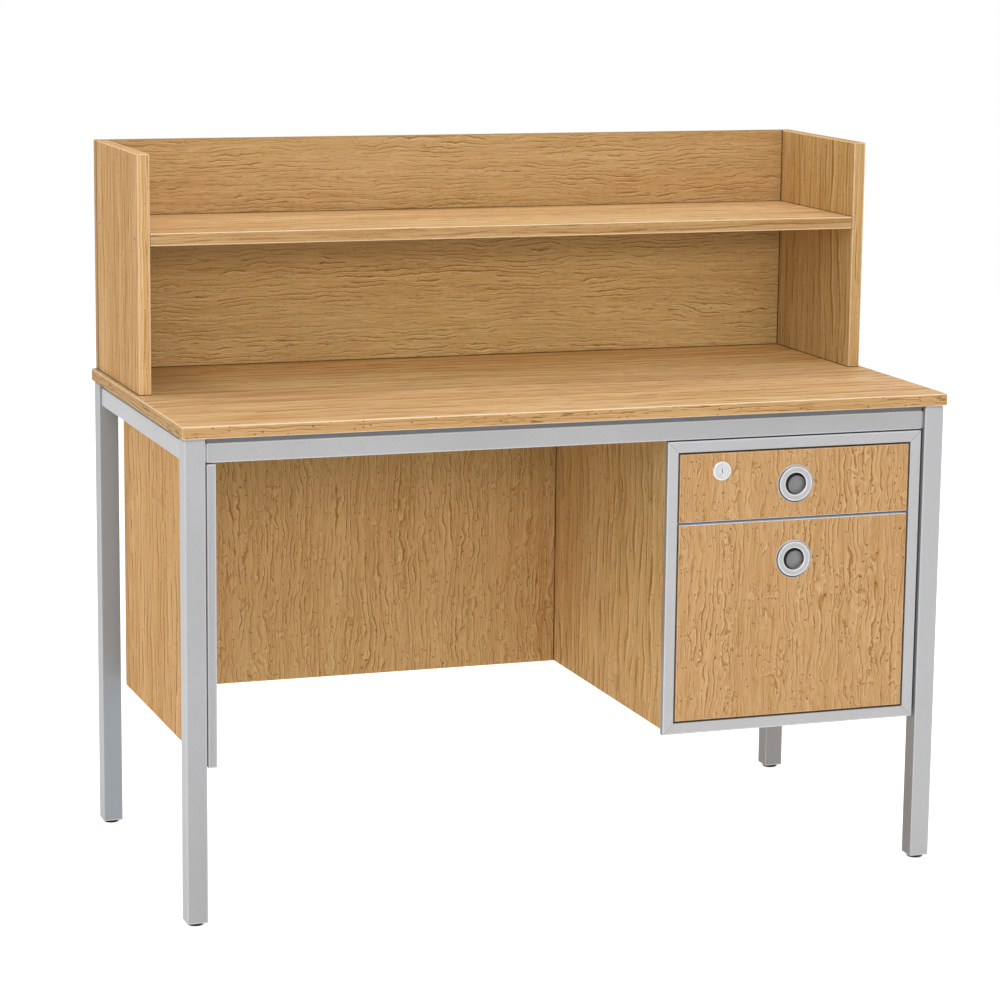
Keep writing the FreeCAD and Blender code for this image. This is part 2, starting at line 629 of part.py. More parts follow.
group("short_screws", bscrews)

br = new_body("bracket", (top_brackets[0][1], top_brackets[0][2], desk_under))
pad(br, "XZ", -bracket_w / 2, bracket_w / 2,
    [("poly", [(0, 0), (bracket_l, 0), (bracket_l, -bracket_t), (bracket_t, -bracket_t),
               (bracket_t, -bracket_l), (0, -bracket_l)])])
pocket(br, "XY", -bracket_t, 0, [("disc", bracket_hole, 0, wood_screw_r + 0.3)])
pocket(br, "YZ", 0, bracket_t, [("disc", 0, -bracket_hole, wood_screw_r + 0.3)])
brackets = [br] + [copy_of(br, (x, y, desk_under), TURN[k]) for k, x, y in top_brackets[1:]]
for cz in corner_z:
    brackets.append(copy_of(br, (end_in, modesty_back, cz), ((1, 0, 0), 90)))
    brackets.append(copy_of(br, (ped_x, modesty_back, cz), ((1, 1, 1), 120)))
group("panel_brackets", brackets)

# --------------------------------------------------------------- kneehole panels
hole = wood_screw_r + hole_clear
mod_w = ped_x - end_in
b = board("modesty_panel", end_in, modesty_y, panel_z, ped_x, modesty_back, panel_top)
rounded(b, edge_arris, lambda e: along("x")(e) and near(mid(e).z, 0))
pocket(b, "XZ", panel_t - wood_screw_in - 0.5, panel_t,
       [("disc", x - end_in, bracket_z - panel_z, hole) for k, x, y in top_brackets if k == "+y"]
       + [("disc", bracket_hole, cz - panel_z, hole) for cz in corner_z]
       + [("disc", mod_w - bracket_hole, cz - panel_z, hole) for cz in corner_z])
node(b)

notch_y = front_rail_y + rail_d + 2


def side_panel(name, x0, faces):
    """An upright board, notched at its top front corner for the front rail."""
    b = new_body(name, (x0, ped_y, panel_z))
    h1, hn = panel_top - panel_z, frame_top - panel_z
    pad(b, "YZ", 0, panel_t, [("poly", [(0, 0), (end_back - ped_y, 0), (end_back - ped_y, h1),
                                        (notch_y - ped_y, h1), (notch_y - ped_y, hn), (0, hn)])])
    rounded(b, edge_arris, lambda e: not near(mid(e).x, panel_t.v / 2, 1) and mid(e).z < hn.v + 1
            and (near(mid(e).z, 0) or near(mid(e).y, 0) or near(mid(e).y, (end_back - ped_y).v)))
    for face, pts in faces:
        a, z = (0, wood_screw_in + 0.5) if face == "low" else (panel_t - wood_screw_in - 0.5, panel_t)
        pocket(b, "YZ", a, z, [("disc", y - ped_y, zz - panel_z, hole) for y, zz in pts])
    return node(b)


corner_pts = [(modesty_back + bracket_hole, cz) for cz in corner_z]
side_panel("left_end_panel", end_x, [("high", [(q(150), bracket_z), (q(430), bracket_z)] + corner_pts)])
side_panel("pedestal_left_side", ped_x, [("high", [(q(120), bracket_z), (q(420), bracket_z)]),
                                         ("low", corner_pts)])
side_panel("pedestal_right_side", ped_in1, [("low", [(q(120), bracket_z), (q(420), bracket_z)])])

# The metal bar that covers the end panel's front edge.
b = board("end_panel_bar", end_in - bar_w, bar_y, bar_z, end_in, bar_y + bar_d, frame_top)
rounded(b, 1.5, lambda e: along("z")(e) and near(mid(e).y, 0))
rounded(b, 1.2, lambda e: (near(mid(e).z, 0) or near(mid(e).z, (frame_top - bar_z).v)) and mid(e).y < bar_d.v - 0.1)
pocket(b, "XZ", 2, bar_d, [("rect", 1.6, 3, bar_w - 1.6, frame_top - bar_z - 3)])
node(b)

# ------------------------------------------------------------ pedestal carcass
b = board("pedestal_top", ped_in0, ped_y, ped_top_z, ped_in1, end_back, ped_top_z + panel_t)
node(b)
b = board("pedestal_bottom", ped_in0, ped_y, panel_z, ped_in1, end_back, panel_z + ped_bottom_t)
node(b)
b = board("pedestal_back", ped_in0, end_back - ped_back_t, panel_z + ped_bottom_t, ped_in1, end_back, ped_top_z)
node(b)

# Metal frame round the mouth: four folded bars, mitred at the corners.
fh = frame_top - frame_z


def frame_bar_body(name, x0, z0, length, upright):
    b = new_body(name, (x0, bar_y, z0))
    if upright:
        pts = [(0, 0), (frame_bar, frame_bar), (frame_bar, length - frame_bar), (0, length)]
        cut = ("rect", frame_wall, frame_bar + 2, frame_bar - frame_wall, length - frame_bar - 2)
    else:
        pts = [(0, 0), (length, 0), (length - frame_bar, frame_bar), (frame_bar, frame_bar)]
        cut = ("rect", frame_bar + 2, frame_wall, length - frame_bar - 2, frame_bar - frame_wall)
    pad(b, "XZ", 0, frame_d, [("poly", pts)])
    run = along("z") if upright else along("x")
    rounded(b, 0.9, lambda e: run(e) and near(mid(e).y, 0))
    pocket(b, "XZ", frame_wall, frame_d, [cut])
    return b


fl_ = frame_bar_body("frame_upright", frame_x, frame_z, fh, True)
# The right bar is the left bar turned half round about the frame's normal.
flip = ((frame_x + frame_w, bar_y, frame_top), ((0, 1, 0), 180))
group("pedestal_frame_uprights", [fl_, copy_of(fl_, *flip)])
fb_ = frame_bar_body("frame_crossbar", frame_x, frame_z, frame_w, False)
group("pedestal_frame_crossbars", [fb_, copy_of(fb_, *flip)])

# Channel between the two drawers.
b = new_body("drawer_divider", (ped_in0, div_y, div_z0))
dh = div_z1 - div_z0
pad(b, "YZ", 0, ped_in1 - ped_in0, [("poly", [(0, 0), (div_d, 0), (div_d, 1.5), (1.5, 1.5), (1.5, dh - 1.5),
                                              (div_d, dh - 1.5), (div_d, dh), (0, dh)])])
node(b)

# ---------------------------------------------------------------------- slides
# Three-part slides: the outer member on the carcass, the middle member, and
# the inner member on the drawer box.  Each is a folded channel.
slide_end = slide_y + slide_len


def channel(name, x0, z_mid, depth, half, length, lip_in=True):
    """A channel with its web at x0, flanges towards +x, open side at +x."""
    b = new_body(name, (x0, slide_y, z_mid))
    w = slide_sheet
    pad(b, "XZ", 0, length, [("poly", [(0, -half), (depth, -half), (depth, w - half), (w, w - half),
                                       (w, half - w), (depth, half - w), (depth, half), (0, half)])])
    return b


out_l = channel("outer_member", ped_in0, up_slide_z, q(8.5), q(17.5), slide_len)
outer = [out_l,
         copy_of(out_l, (ped_in1, slide_end, up_slide_z), (ZA, 180)),
         copy_of(out_l, (ped_in0, slide_y, lo_slide_z)),
         copy_of(out_l, (ped_in1, slide_end, lo_slide_z), (ZA, 180))]
group("slide_outer_members", outer)
for tag, z_mid in (("upper", up_slide_z), ("lower", lo_slide_z)):
    m = channel(tag + "_middle_member", ped_in0 + 2.6, z_mid, q(8.4), q(14), slide_len)
    group(tag + "_slide_middle_members", [m, copy_of(m, (ped_in1 - 2.6, slide_end, z_mid), (ZA, 180))])
for tag, z_mid in (("upper", up_slide_z), ("lower", lo_slide_z)):
    # The inner member's web lies on the drawer box, its open side faces the carcass.
    x_box = ped_in0 + slide_gap
    m = channel(tag + "_inner_member", x_box, z_mid, q(7.4), q(9.5), slide_len - 4)
    place(m, (x_box, slide_y + slide_len - 4, z_mid), (ZA, 180))
    group(tag + "_slide_inner_members", [m, copy_of(m, (ped_in1 - slide_gap, slide_y, z_mid))])

# ---------------------------------------------------------------- drawer boxes
box_x0 = ped_in0 + slide_gap
box_x1 = ped_in1 - slide_gap
box_y0 = front_y + front_t
box_y1 = box_y0 + box_l
front_x0 = frame_x + frame_bar + reveal
front_x1 = frame_x + frame_w - frame_bar - reveal
front_pts = {}


def drawer_box(tag, z0, z1, screws_z, lock_hole):
    h = z1 - z0
    side = board(tag + "_side", box_x0, box_y0, z0, box_x0 + box_t, box_y1, z1)
    rounded(side, 1.5, lambda e: along("y")(e) and near(mid(e).z, h.v))
    pocket(side, "XZ", box_t - groove_in, box_l - box_t + groove_in,
           [("rect", box_t - groove_in, base_up, box_t, base_up + box_base)])
    walls = [side, copy_of(side, (box_x1, box_y1, z0), (ZA, 180))]
    iw = box_x1 - box_x0 - 2 * box_t
    for part, y0 in (("front", box_y0), ("back", box_y1 - box_t)):
        e = board(tag + "_box_" + part, box_x0 + box_t, y0, z0, box_x1 - box_t, y0 + box_t, z1)
        a, c = (box_t - groove_in, box_t) if part == "front" else (0, groove_in)
        pocket(e, "YZ", 0, iw, [("rect", a, base_up, c, base_up + box_base)])
        if part == "front":
            pocket(e, "XZ", 0, box_t, [("disc", x - box_x0 - box_t, sz_ - z0, 2.3)
                                       for x in (box_x0 + 40, box_x1 - 40) for sz_ in screws_z])
            if lock_hole:
                pocket(e, "XZ", 0, box_t, [("disc", lock_x - box_x0 - box_t, lock_z - z0, barrel_r + 0.1)])
        walls.append(e)
    group(tag + "_drawer_box", walls)
    g = groove_in - 0.2
    base = board(tag + "_drawer_bottom", box_x0 + box_t - g, box_y0 + box_t - g, z0 + base_up + 0.05,
                 box_x1 - box_t + g, box_y1 - box_t + g, z0 + base_up + box_base - 0.05)
    node(base)
    # Screws from inside the box hold the front on.
    fs = new_body(tag + "_front_screw", (box_x0 + 40, box_y0 + box_t, screws_z[0]), ((1, 0, 0), 90))
    turned(fs, [(0, -head_t), (2.4, -head_t), (head_r, -0.6), (head_r, 0), (wood_screw_r, 0),
                (wood_screw_r, 22), (0.4, 24.5), (0, 24.5)])
    pts = [(x, sz_) for x in (box_x0 + 40, box_x1 - 40) for sz_ in screws_z]
    group(tag + "_front_screws", [fs] + [copy_of(fs, (x, box_y0 + box_t, sz_), ((1, 0, 0), 90)) for x, sz_ in pts[1:]])
    front_pts[tag] = pts


def drawer_front(tag, z0, z1, pull_z, lock_hole):
    b = board(tag + "_drawer_front", front_x0, front_y, z0, front_x1, front_y + front_t, z1)
    rounded(b, 1.0, lambda e: near(mid(e).y, 0))
    pocket(b, "XZ", 0, cup_d + 0.2, [("disc", pull_x - front_x0, pull_z - z0, cup_r + 0.2)])
    if lock_hole:
        pocket(b, "XZ", 0, front_t, [("disc", lock_x - front_x0, lock_z - z0, barrel_r + 0.1)])
    pocket(b, "XZ", front_t - 13, front_t, [("disc", x - front_x0, sz_ - z0, hole) for x, sz_ in front_pts[tag]])
    node(b)
    # Ring of the flush pull: a thin rim, a groove, and a flat face that is
    # bevelled towards the finger hole.
    ring = new_body(tag + "_pull_ring", (pull_x, front_y, pull_z), ((1, 0, 0), 90))
    turned(ring, [(pull_r, 0), (pull_r - 0.3, 1.1), (pull_r - 0.7, 1.5), (pull_r - 1.2, 1.5), (pull_r - 1.5, 0.6),
                  (pull_r - 2.5, 0.6), (pull_r - 2.8, 2.4), (pull_r - 3.4, pull_out), (pull_hole + 1.5, pull_out),
                  (pull_hole + 0.4, pull_out - 0.6), (pull_hole, pull_out - 1.5), (pull_hole, -2),
                  (pull_hole + 1.4, -2), (pull_hole + 1.4, 0)])
    node(ring)
    # Shallow cup behind it, wider than the hole, so that a fingertip hooks
    # behind the ring.
    cup = new_body(tag + "_pull_cup", (pull_x, front_y, pull_z), ((1, 0, 0), 90))
    turned(cup, [(cup_r, 0), (cup_r, -cup_d + 2), (cup_r - 2, -cup_d), (0, -cup_d), (0, -cup_d + cup_wall),
                 (cup_r - 2.6, -cup_d + cup_wall), (cup_r - cup_wall, -cup_d + 2.6), (cup_r - cup_wall, 0)])
    node(cup)


drawer_box("upper", up_box_z0, up_box_z1, (q(604), q(652)), True)
drawer_front("upper", up_z0, up_z1, up_pull_z, True)
drawer_box("lower", lo_box_z0, lo_box_z1, (q(290), q(430)), False)
drawer_front("lower", lo_z0, lo_z1, lo_pull_z, False)

# Hanging-file rails in the deep drawer, let into its ends.
fx0 = box_x0 + box_t + 12
fl = board("file_rail", fx0, box_y0 + box_t, lo_box_z1 - 16, fx0 + 3, box_y1 - box_t, lo_box_z1 - 2)
group("lower_file_rails", [fl, copy_of(fl, (box_x1 - box_t - 12 - 3, box_y0 + box_t, lo_box_z1 - 16))])

# ------------------------------------------------------------------------ lock
# Local Z points out of the drawer's face.
OUT = ((1, 0, 0), 90)
bd = barrel_end - front_y
b = new_body("lock_housing", (lock_x, front_y, lock_z), OUT)
bore = plug_r + plug_clear
turned(b, [(bore, 1.0), (plug_r + 1.2, 1.0), (plug_r + 2.0, 1.9), (plug_r + 3.2, 1.9), (plug_r + 3.9, 1.1),
           (plug_r + 5.0, 1.1), (plug_r + 5.8, lock_out), (lock_face_r - 1.5, lock_out), (lock_face_r - 0.3, 1.7),
           (lock_face_r, 0.6), (lock_face_r, 0), (barrel_r, 0), (barrel_r, -bd), (bore, -bd)])
node(b)
b = new_body("lock_nut", (lock_x, box_y0 + box_t, lock_z), OUT)
nut_r = barrel_r + 3.4
pad(b, "XY", -3.4, 0, [("poly", [(nut_r, 0), (nut_r / 2, nut_r * 0.8660254), (-nut_r / 2, nut_r * 0.8660254),
                                 (-nut_r, 0), (-nut_r / 2, -nut_r * 0.8660254), (nut_r / 2, -nut_r * 0.8660254)]),
                       ("disc", 0, 0, barrel_r + 0.03)])
node(b)
b = new_body("lock_plug", (lock_x, front_y, lock_z), OUT)
turned(b, [(0, 1.5), (plug_r - 0.6, 1.5), (plug_r, 1.0), (plug_r, -bd - 0.2), (3, -bd - 0.2), (3, -bd - 0.3 - cam_t), (0, -bd - 0.3 - cam_t)])
pocket(b, "XY", -9, 1.5, [("rect", -0.8, -3.6, 0.8, 3.6)])
node(b)
cam = new_body("cam_plate", (lock_x, barrel_end + 0.25, lock_z), OUT)
hw = cam_w / 2
pad(cam, "XY", -cam_t, 0, [("poly", [(-cam_l, -hw + 1.5), (-cam_l, hw - 1.5), (-cam_l + 1.5, hw), (3.5, hw), (hw + 1, 3.5),
                                     (hw + 1, -3.5), (3.5, -hw), (-cam_l + 1.5, -hw)]),
                           ("disc", 0, 0, 3.05)])
cam_screw = new_body("cam_screw", (lock_x, barrel_end + 0.3 + cam_t, lock_z), OUT)
turned(cam_screw, [(0, 0), (4.2, 0), (4.2, -1.0), (3.2, -1.8), (0, -1.8)])
group("lock_cam", [cam, cam_screw])

# Keeper under the carcass top; the raised cam stands behind its lip.
b = new_body("lock_keeper", (lock_x - 20, div_y + 0.5, ped_top_z))
pad(b, "YZ", 0, 40, [("poly", [(0, 0), (0, -1.5), (12.5, -1.5), (12.5, -7), (14, -7), (14, 0)])])
node(b)

# ----------------------------------------------------------------------- hutch
hutch_y = desk_d - hutch_d
side_back = desk_d - hutch_t
hx0, hx1 = hutch_in, desk_w - hutch_in
hh = hutch_top - desk_z
shelf_mid = shelf_top - hutch_t / 2
shelf_pins = [q(325), q(572)]
back_pins_z = [desk_z + 40, desk_z + 190, q(1082)]
for tag, x0, bolts in (("left", hx0, left_bolts), ("right", hx1 - hutch_t, right_bolts)):
    b = board("hutch_%s_side" % tag, x0, hutch_y, desk_z, x0 + hutch_t, side_back, hutch_top)
    rounded(b, edge_arris, lambda e: (near(mid(e).y, 0) or near(mid(e).z, hh.v)) and mid(e).z > 0.1)
    pocket(b, "XY", 0, bolt_top - desk_z + 1, [("disc", x - x0, y - hutch_y, bolt_r + hole_clear) for x, y in bolts])
    pocket(b, "YZ", 0, hutch_t, [("disc", y - hutch_y, shelf_mid - desk_z, pin_r + hole_clear) for y in shelf_pins])
    pocket(b, "XZ", side_back - hutch_y - 23.5, side_back - hutch_y,
           [("disc", hutch_t / 2, z - desk_z, pin_r + hole_clear) for z in back_pins_z])
    node(b)

b = board("hutch_back", hx0, side_back, desk_z, hx1, desk_d, hutch_top)
rounded(b, edge_arris, lambda e: (not near(mid(e).z, 0)) and not (near(mid(e).y, 0) and mid(e).z < hh.v - 0.1))
back_xz = [(hx0 + hutch_t / 2, z) for z in back_pins_z] + [(hx1 - hutch_t / 2, z) for z in back_pins_z] \
    + [(q(x), shelf_mid) for x in (250, 609.5, 969)]
pocket(b, "XZ", 0, hutch_t, [("disc", x - hx0, z - desk_z, pin_r + hole_clear) for x, z in back_xz])
node(b)

b = board("hutch_shelf", hx0 + hutch_t, hutch_y + shelf_back, shelf_top - hutch_t, hx1 - hutch_t, side_back, shelf_top)
rounded(b, edge_arris, lambda e: along("x")(e) and near(mid(e).y, 0))
sw = hx1 - hx0 - 2 * hutch_t
for a, z in ((q(0), q(23.5)), (sw - 23.5, sw)):
    pocket(b, "YZ", a, z, [("disc", y - hutch_y - shelf_back, hutch_t / 2, pin_r + hole_clear) for y in shelf_pins])
pocket(b, "XZ", side_back - hutch_y - shelf_back - 23.5, side_back - hutch_y - shelf_back,
       [("disc", x - hx0 - hutch_t, hutch_t / 2, pin_r + hole_clear) for x, z in back_xz[6:]])
node(b)

# Connecting pins: sides to shelf, back to sides, back to shelf.
pn = new_body("connecting_pin", (hx0, shelf_pins[0], shelf_mid), ((0, 1, 0), 90))
turned(pn, [(0, -pin_out), (pin_r - 0.6, -pin_out), (pin_r, 0), (pin_r, pin_len - 1), (pin_r - 1, pin_len), (0, pin_len)])
pins = [pn, copy_of(pn, (hx0, shelf_pins[1], shelf_mid), ((0, 1, 0), 90))]
pins += [copy_of(pn, (hx1, y, shelf_mid), ((0, 1, 0), -90)) for y in shelf_pins]
pins += [copy_of(pn, (x, desk_d - pin_out, z), ((1, 0, 0), 90)) for x, z in back_xz]
group("hutch_pins", pins)

# ---------------------------------------------------------------------- export
doc.recompute()
bad = [o.Name for o in doc.Objects if "Invalid" in o.State or "Error" in o.State]
if bad:
    raise RuntimeError("failed objects: " + ", ".join(bad))
labels = [n.Label for n in NODES]
if len(set(labels)) != len(labels) or len(labels) > 60:
    raise RuntimeError("labels: %d" % len(labels))
os.makedirs("parts", exist_ok=True)
for n in NODES:
    s = n.Shape
    if s.isNull() or not s.isValid() or s.Volume <= 0:
        raise RuntimeError("bad shape: " + n.Label)
for n in NODES:
    n.Shape.exportStep(os.path.join("parts", n.Label + ".step"))
print("%d nodes, %d solids" % (len(NODES), sum(len(n.Shape.Solids) for n in NODES)))
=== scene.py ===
import math
import bpy
import bmesh
import numpy as np
from mathutils import Vector, Matrix


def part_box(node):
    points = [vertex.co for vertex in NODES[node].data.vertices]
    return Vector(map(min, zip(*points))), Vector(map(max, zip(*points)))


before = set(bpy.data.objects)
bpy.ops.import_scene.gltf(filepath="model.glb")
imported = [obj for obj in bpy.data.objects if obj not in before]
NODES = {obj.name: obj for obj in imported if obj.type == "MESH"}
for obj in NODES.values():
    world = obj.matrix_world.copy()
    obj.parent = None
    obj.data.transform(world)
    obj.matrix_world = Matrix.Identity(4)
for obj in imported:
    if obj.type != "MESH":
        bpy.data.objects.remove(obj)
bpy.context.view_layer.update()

# Row frame from desk coordinates (millimetres from the desktop's front left
# corner, z from the floor).
DESK_W, DESK_D = 1219.0, 610.0


def at(x, y, z):
    return Vector(((x - DESK_W / 2) / 1000.0, (y - DESK_D / 2) / 1000.0, z / 1000.0))


def px(x):
    return (x - DESK_W / 2) / 1000.0


def py(y):
    return (y - DESK_D / 2) / 1000.0


def pz(z):
    return z / 1000.0


def srgb(r, g, b):
    def lin(c):
        c /= 255.0
        return c / 12.92 if c <= 0.04045 else ((c + 0.055) / 1.055) ** 2.4
    return (lin(r), lin(g), lin(b), 1.0)


# ---------------------------------------------------------------- node graphs
class Graph:
    """A material's node tree, written as expressions."""

    def __init__(self, name):
        self.mat = bpy.data.materials.new(name)
        self.mat.use_nodes = True
        self.nt = self.mat.node_tree
        self.nt.nodes.clear()
        self.out = self.make("ShaderNodeOutputMaterial")
        self.shader = self.make("ShaderNodeBsdfPrincipled")
        self.nt.links.new(self.shader.outputs[0], self.out.inputs["Surface"])
        self._coord = None

    def make(self, kind, **kw):
        n = self.nt.nodes.new(kind)
        for k, v in kw.items():
            setattr(n, k, v)
        return n

    def put(self, socket, value):
        if isinstance(value, bpy.types.NodeSocket):
            self.nt.links.new(value, socket)
        else:
            socket.default_value = value

    def coord(self, which="Object"):
        if self._coord is None:
            self._coord = self.make("ShaderNodeTexCoord")
        return self._coord.outputs[which]

    def math(self, op, a, b=None, c=None, clamp=False):
        n = self.make("ShaderNodeMath", operation=op, use_clamp=clamp)
        self.put(n.inputs[0], a)
        if b is not None:
            self.put(n.inputs[1], b)
        if c is not None:
            self.put(n.inputs[2], c)
        return n.outputs[0]

    def vmath(self, op, a, b=None, scale=None):
        n = self.make("ShaderNodeVectorMath", operation=op)
        self.put(n.inputs[0], a)
        if b is not None:
            self.put(n.inputs[1], b)
        if scale is not None:
            self.put(n.inputs["Scale"], scale)
        return n.outputs["Value"] if op in ("DOT_PRODUCT", "LENGTH", "DISTANCE") else n.outputs["Vector"]

    def split(self, v):
        n = self.make("ShaderNodeSeparateXYZ")
        self.put(n.inputs[0], v)
        return [n.outputs[0], n.outputs[1], n.outputs[2]]

    def join(self, x, y, z):
        n = self.make("ShaderNodeCombineXYZ")
        for s, v in zip(n.inputs, (x, y, z)):
            self.put(s, v)
        return n.outputs[0]

    def noise(self, v, scale=1.0, detail=2.0, rough=0.5, dist=0.0, colour=False):
        n = self.make("ShaderNodeTexNoise", noise_dimensions="3D")
        self.put(n.inputs["Vector"], v)
        n.inputs["Scale"].default_value = scale
        n.inputs["Detail"].default_value = detail
        n.inputs["Roughness"].default_value = rough
        n.inputs["Distortion"].default_value = dist
        return n.outputs["Color" if colour else "Fac"]

    def cells(self, v, scale=1.0, feature="F1", out="Distance", rnd=1.0, flat=False):
        n = self.make("ShaderNodeTexVoronoi", voronoi_dimensions="2D" if flat else "3D", feature=feature)
        self.put(n.inputs["Vector"], v)
        n.inputs["Scale"].default_value = scale
        n.inputs["Randomness"].default_value = rnd
        return n.outputs[out]

    def ramp(self, v, a, b, c=0.0, d=1.0, smooth=True):
        """v from a..b mapped to c..d, clamped."""
        n = self.make("ShaderNodeMapRange", interpolation_type="SMOOTHSTEP" if smooth else "LINEAR", clamp=True)
        self.put(n.inputs["Value"], v)
        self.put(n.inputs["From Min"], a)
        self.put(n.inputs["From Max"], b)
        self.put(n.inputs["To Min"], c)
        self.put(n.inputs["To Max"], d)
        return n.outputs[0]

    def colours(self, v, stops):
        n = self.make("ShaderNodeValToRGB")
        self.put(n.inputs[0], v)
        cr = n.color_ramp
        while len(cr.elements) > 1:
            cr.elements.remove(cr.elements[-1])
        cr.elements[0].position, cr.elements[0].color = stops[0]
        for p, c in stops[1:]:
            e = cr.elements.new(p)
            e.color = c
        return n.outputs["Color"]

    def mix(self, f, a, b, blend="MIX"):
        n = self.make("ShaderNodeMix", data_type="RGBA", blend_type=blend)
        self.put(n.inputs["Factor"], f)
        ins = [s for s in n.inputs if s.type == "RGBA"]
        self.put(ins[0], a)
        self.put(ins[1], b)
        return [s for s in n.outputs if s.type == "RGBA"][0]

    def vpick(self, f, a, b):
        n = self.make("ShaderNodeMix", data_type="VECTOR")
        self.put(n.inputs["Factor"], f)
        ins = [s for s in n.inputs if s.type == "VECTOR"]
        ins = [s for s in ins if s.name in ("A", "B")]
        self.put(ins[0], a)
        self.put(ins[1], b)
        return [s for s in n.outputs if s.type == "VECTOR"][0]

    def band(self, c, value, half):
        """1 on a plane c = value, falling to 0 at half away from it."""
        d = self.math("ABSOLUTE", self.math("SUBTRACT", c, value))
        return self.ramp(d, half * 0.35, half, 1.0, 0.0)

    def within(self, c, lo, hi):
        a = self.math("GREATER_THAN", c, lo)
        b = self.math("LESS_THAN", c, hi)
        return self.math("MULTIPLY", a, b)

    def bump(self, h, strength, distance, normal=None):
        n = self.make("ShaderNodeBump")
        n.inputs["Strength"].default_value = strength
        n.inputs["Distance"].default_value = distance
        self.put(n.inputs["Height"], h)
        if normal is not None:
            self.put(n.inputs["Normal"], normal)
        return n.outputs[0]

    def edge_distance(self, xyz, lo, hi):
        """Distance along the surface of a box to its nearest edge."""
        d = []
        for c, a, b in zip(xyz, lo, hi):
            d.append(self.math("MINIMUM", self.math("ABSOLUTE", self.math("SUBTRACT", c, a)),
                               self.math("ABSOLUTE", self.math("SUBTRACT", c, b))))
        least = self.math("MINIMUM", d[0], d[1])
        most = self.math("MAXIMUM", d[0], d[1])
        return self.math("MAXIMUM", least, self.math("MINIMUM", most, d[2]))


def paint(obj, mat):
    """Give an object one material, whatever slots it came with."""
    obj.data.materials.clear()
    obj.data.materials.append(mat)


def extent(node, keep=None):
    """Lowest and highest corner of a CAD node, or of those of its vertices that keep() takes."""
    co = np.empty(len(NODES[node].data.vertices) * 3, np.float32)
    NODES[node].data.vertices.foreach_get("co", co)
    co = co.reshape(-1, 3)
    if keep is not None:
        co = co[keep(co)]
    return Vector(co.min(0)), Vector(co.max(0))


# ------------------------------------------------------------------- oak board
OAK_LIGHT = srgb(222, 181, 132)
OAK_MID = srgb(209, 166, 116)
OAK_WARM = srgb(192, 145, 90)
OAK_DARK = srgb(166, 115, 52)
OAK_LINE = srgb(158, 106, 42)
OAK_PORE = srgb(112, 70, 28)
OAK_DOT = srgb(128, 78, 28)
OAK_PALE = srgb(234, 203, 162)
SEAM_AND_SHADE = srgb(66, 44, 22)
GAP_LIGHT_GREY = srgb(230, 240, 252)
ARRIS_HIGHLIGHT = srgb(250, 228, 194)

STYLES = {
    # run, across: how far the figure is drawn out along and across the grain;
    # wander, curl: slow and tight drift of the lines; lines: lines per metre
    # across the grain; swell: how far they bend (a high value closes them to
    # loops), over patches of size (along, across) per metre; stroke, under:
    # strength of the main and of the finer lines; figure: scattered closed
    # contours; pores, dots: dark dashes and dots; soft: blurred long streaks;
    # broad, streak: contrast of wide and of fine bands; tone: overall shift;
    # relief: depth of the embossing.
    "top": dict(run=0.75, across=0.40, wander=0.006, curl=0.0006, lines=84.0, swell=1.0, patch=(9.0, 26.0), stroke=0.95, under=0.6,
                figure=0.0, pores=0.35, dots=0.0, soft=1.7, broad=0.8, streak=1.7, tone=0.03, relief=0.6),
    "shelf": dict(run=0.75, across=0.40, wander=0.006, curl=0.0006, lines=84.0, swell=1.0, patch=(9.0, 26.0), stroke=0.9, under=0.6,
                  figure=0.0, pores=0.5, dots=0.7, soft=1.4, broad=0.7, streak=1.7, tone=0.04, relief=0.8),
    "back": dict(run=1.0, across=1.0, wander=0.012, curl=0.0014, lines=140.0, swell=2.0, patch=(13.0, 36.0), stroke=1.15, under=0.9,
                 figure=0.2, pores=0.45, dots=0.4, soft=0.6, broad=0.9, streak=1.5, tone=0.03, relief=1.0),
    "side": dict(run=0.50, across=0.42, wander=0.006, curl=0.0008, lines=105.0, swell=1.6, patch=(10.0, 30.0), stroke=0.9, under=0.8,
                 figure=0.10, pores=0.25, dots=0.8, soft=1.2, broad=0.8, streak=1.5, tone=0.03, relief=0.4),
    "flank": dict(run=0.50, across=0.42, wander=0.008, curl=0.0012, lines=100.0, swell=2.2, patch=(12.0, 32.0), stroke=0.95, under=0.8,
                  figure=0.30, pores=0.25, dots=0.9, soft=0.9, broad=0.9, streak=1.5, tone=0.02, relief=0.5),
    "panel": dict(run=1.0, across=1.0, wander=0.012, curl=0.0018, lines=118.0, swell=2.8, patch=(13.0, 34.0), stroke=1.05, under=0.75,
                  figure=0.55, pores=0.30, dots=0.8, soft=0.6, broad=0.9, streak=1.4, tone=0.02, relief=1.0),
    "front": dict(run=1.0, across=1.0, wander=0.012, curl=0.0020, lines=112.0, swell=3.1, patch=(14.0, 34.0), stroke=1.0, under=0.7,
                  figure=0.75, pores=0.20, dots=0.9, soft=0.5, broad=0.7, streak=1.3, tone=0.02, relief=0.8),
    "edging": dict(run=0.8, across=1.0, wander=0.003, curl=0.0010, lines=170.0, swell=1.8, patch=(14.0, 40.0), stroke=1.15, under=0.8,
                   figure=0.0, pores=1.0, dots=1.0, soft=0.9, broad=0.6, streak=1.4, tone=0.03, relief=1.0),
}


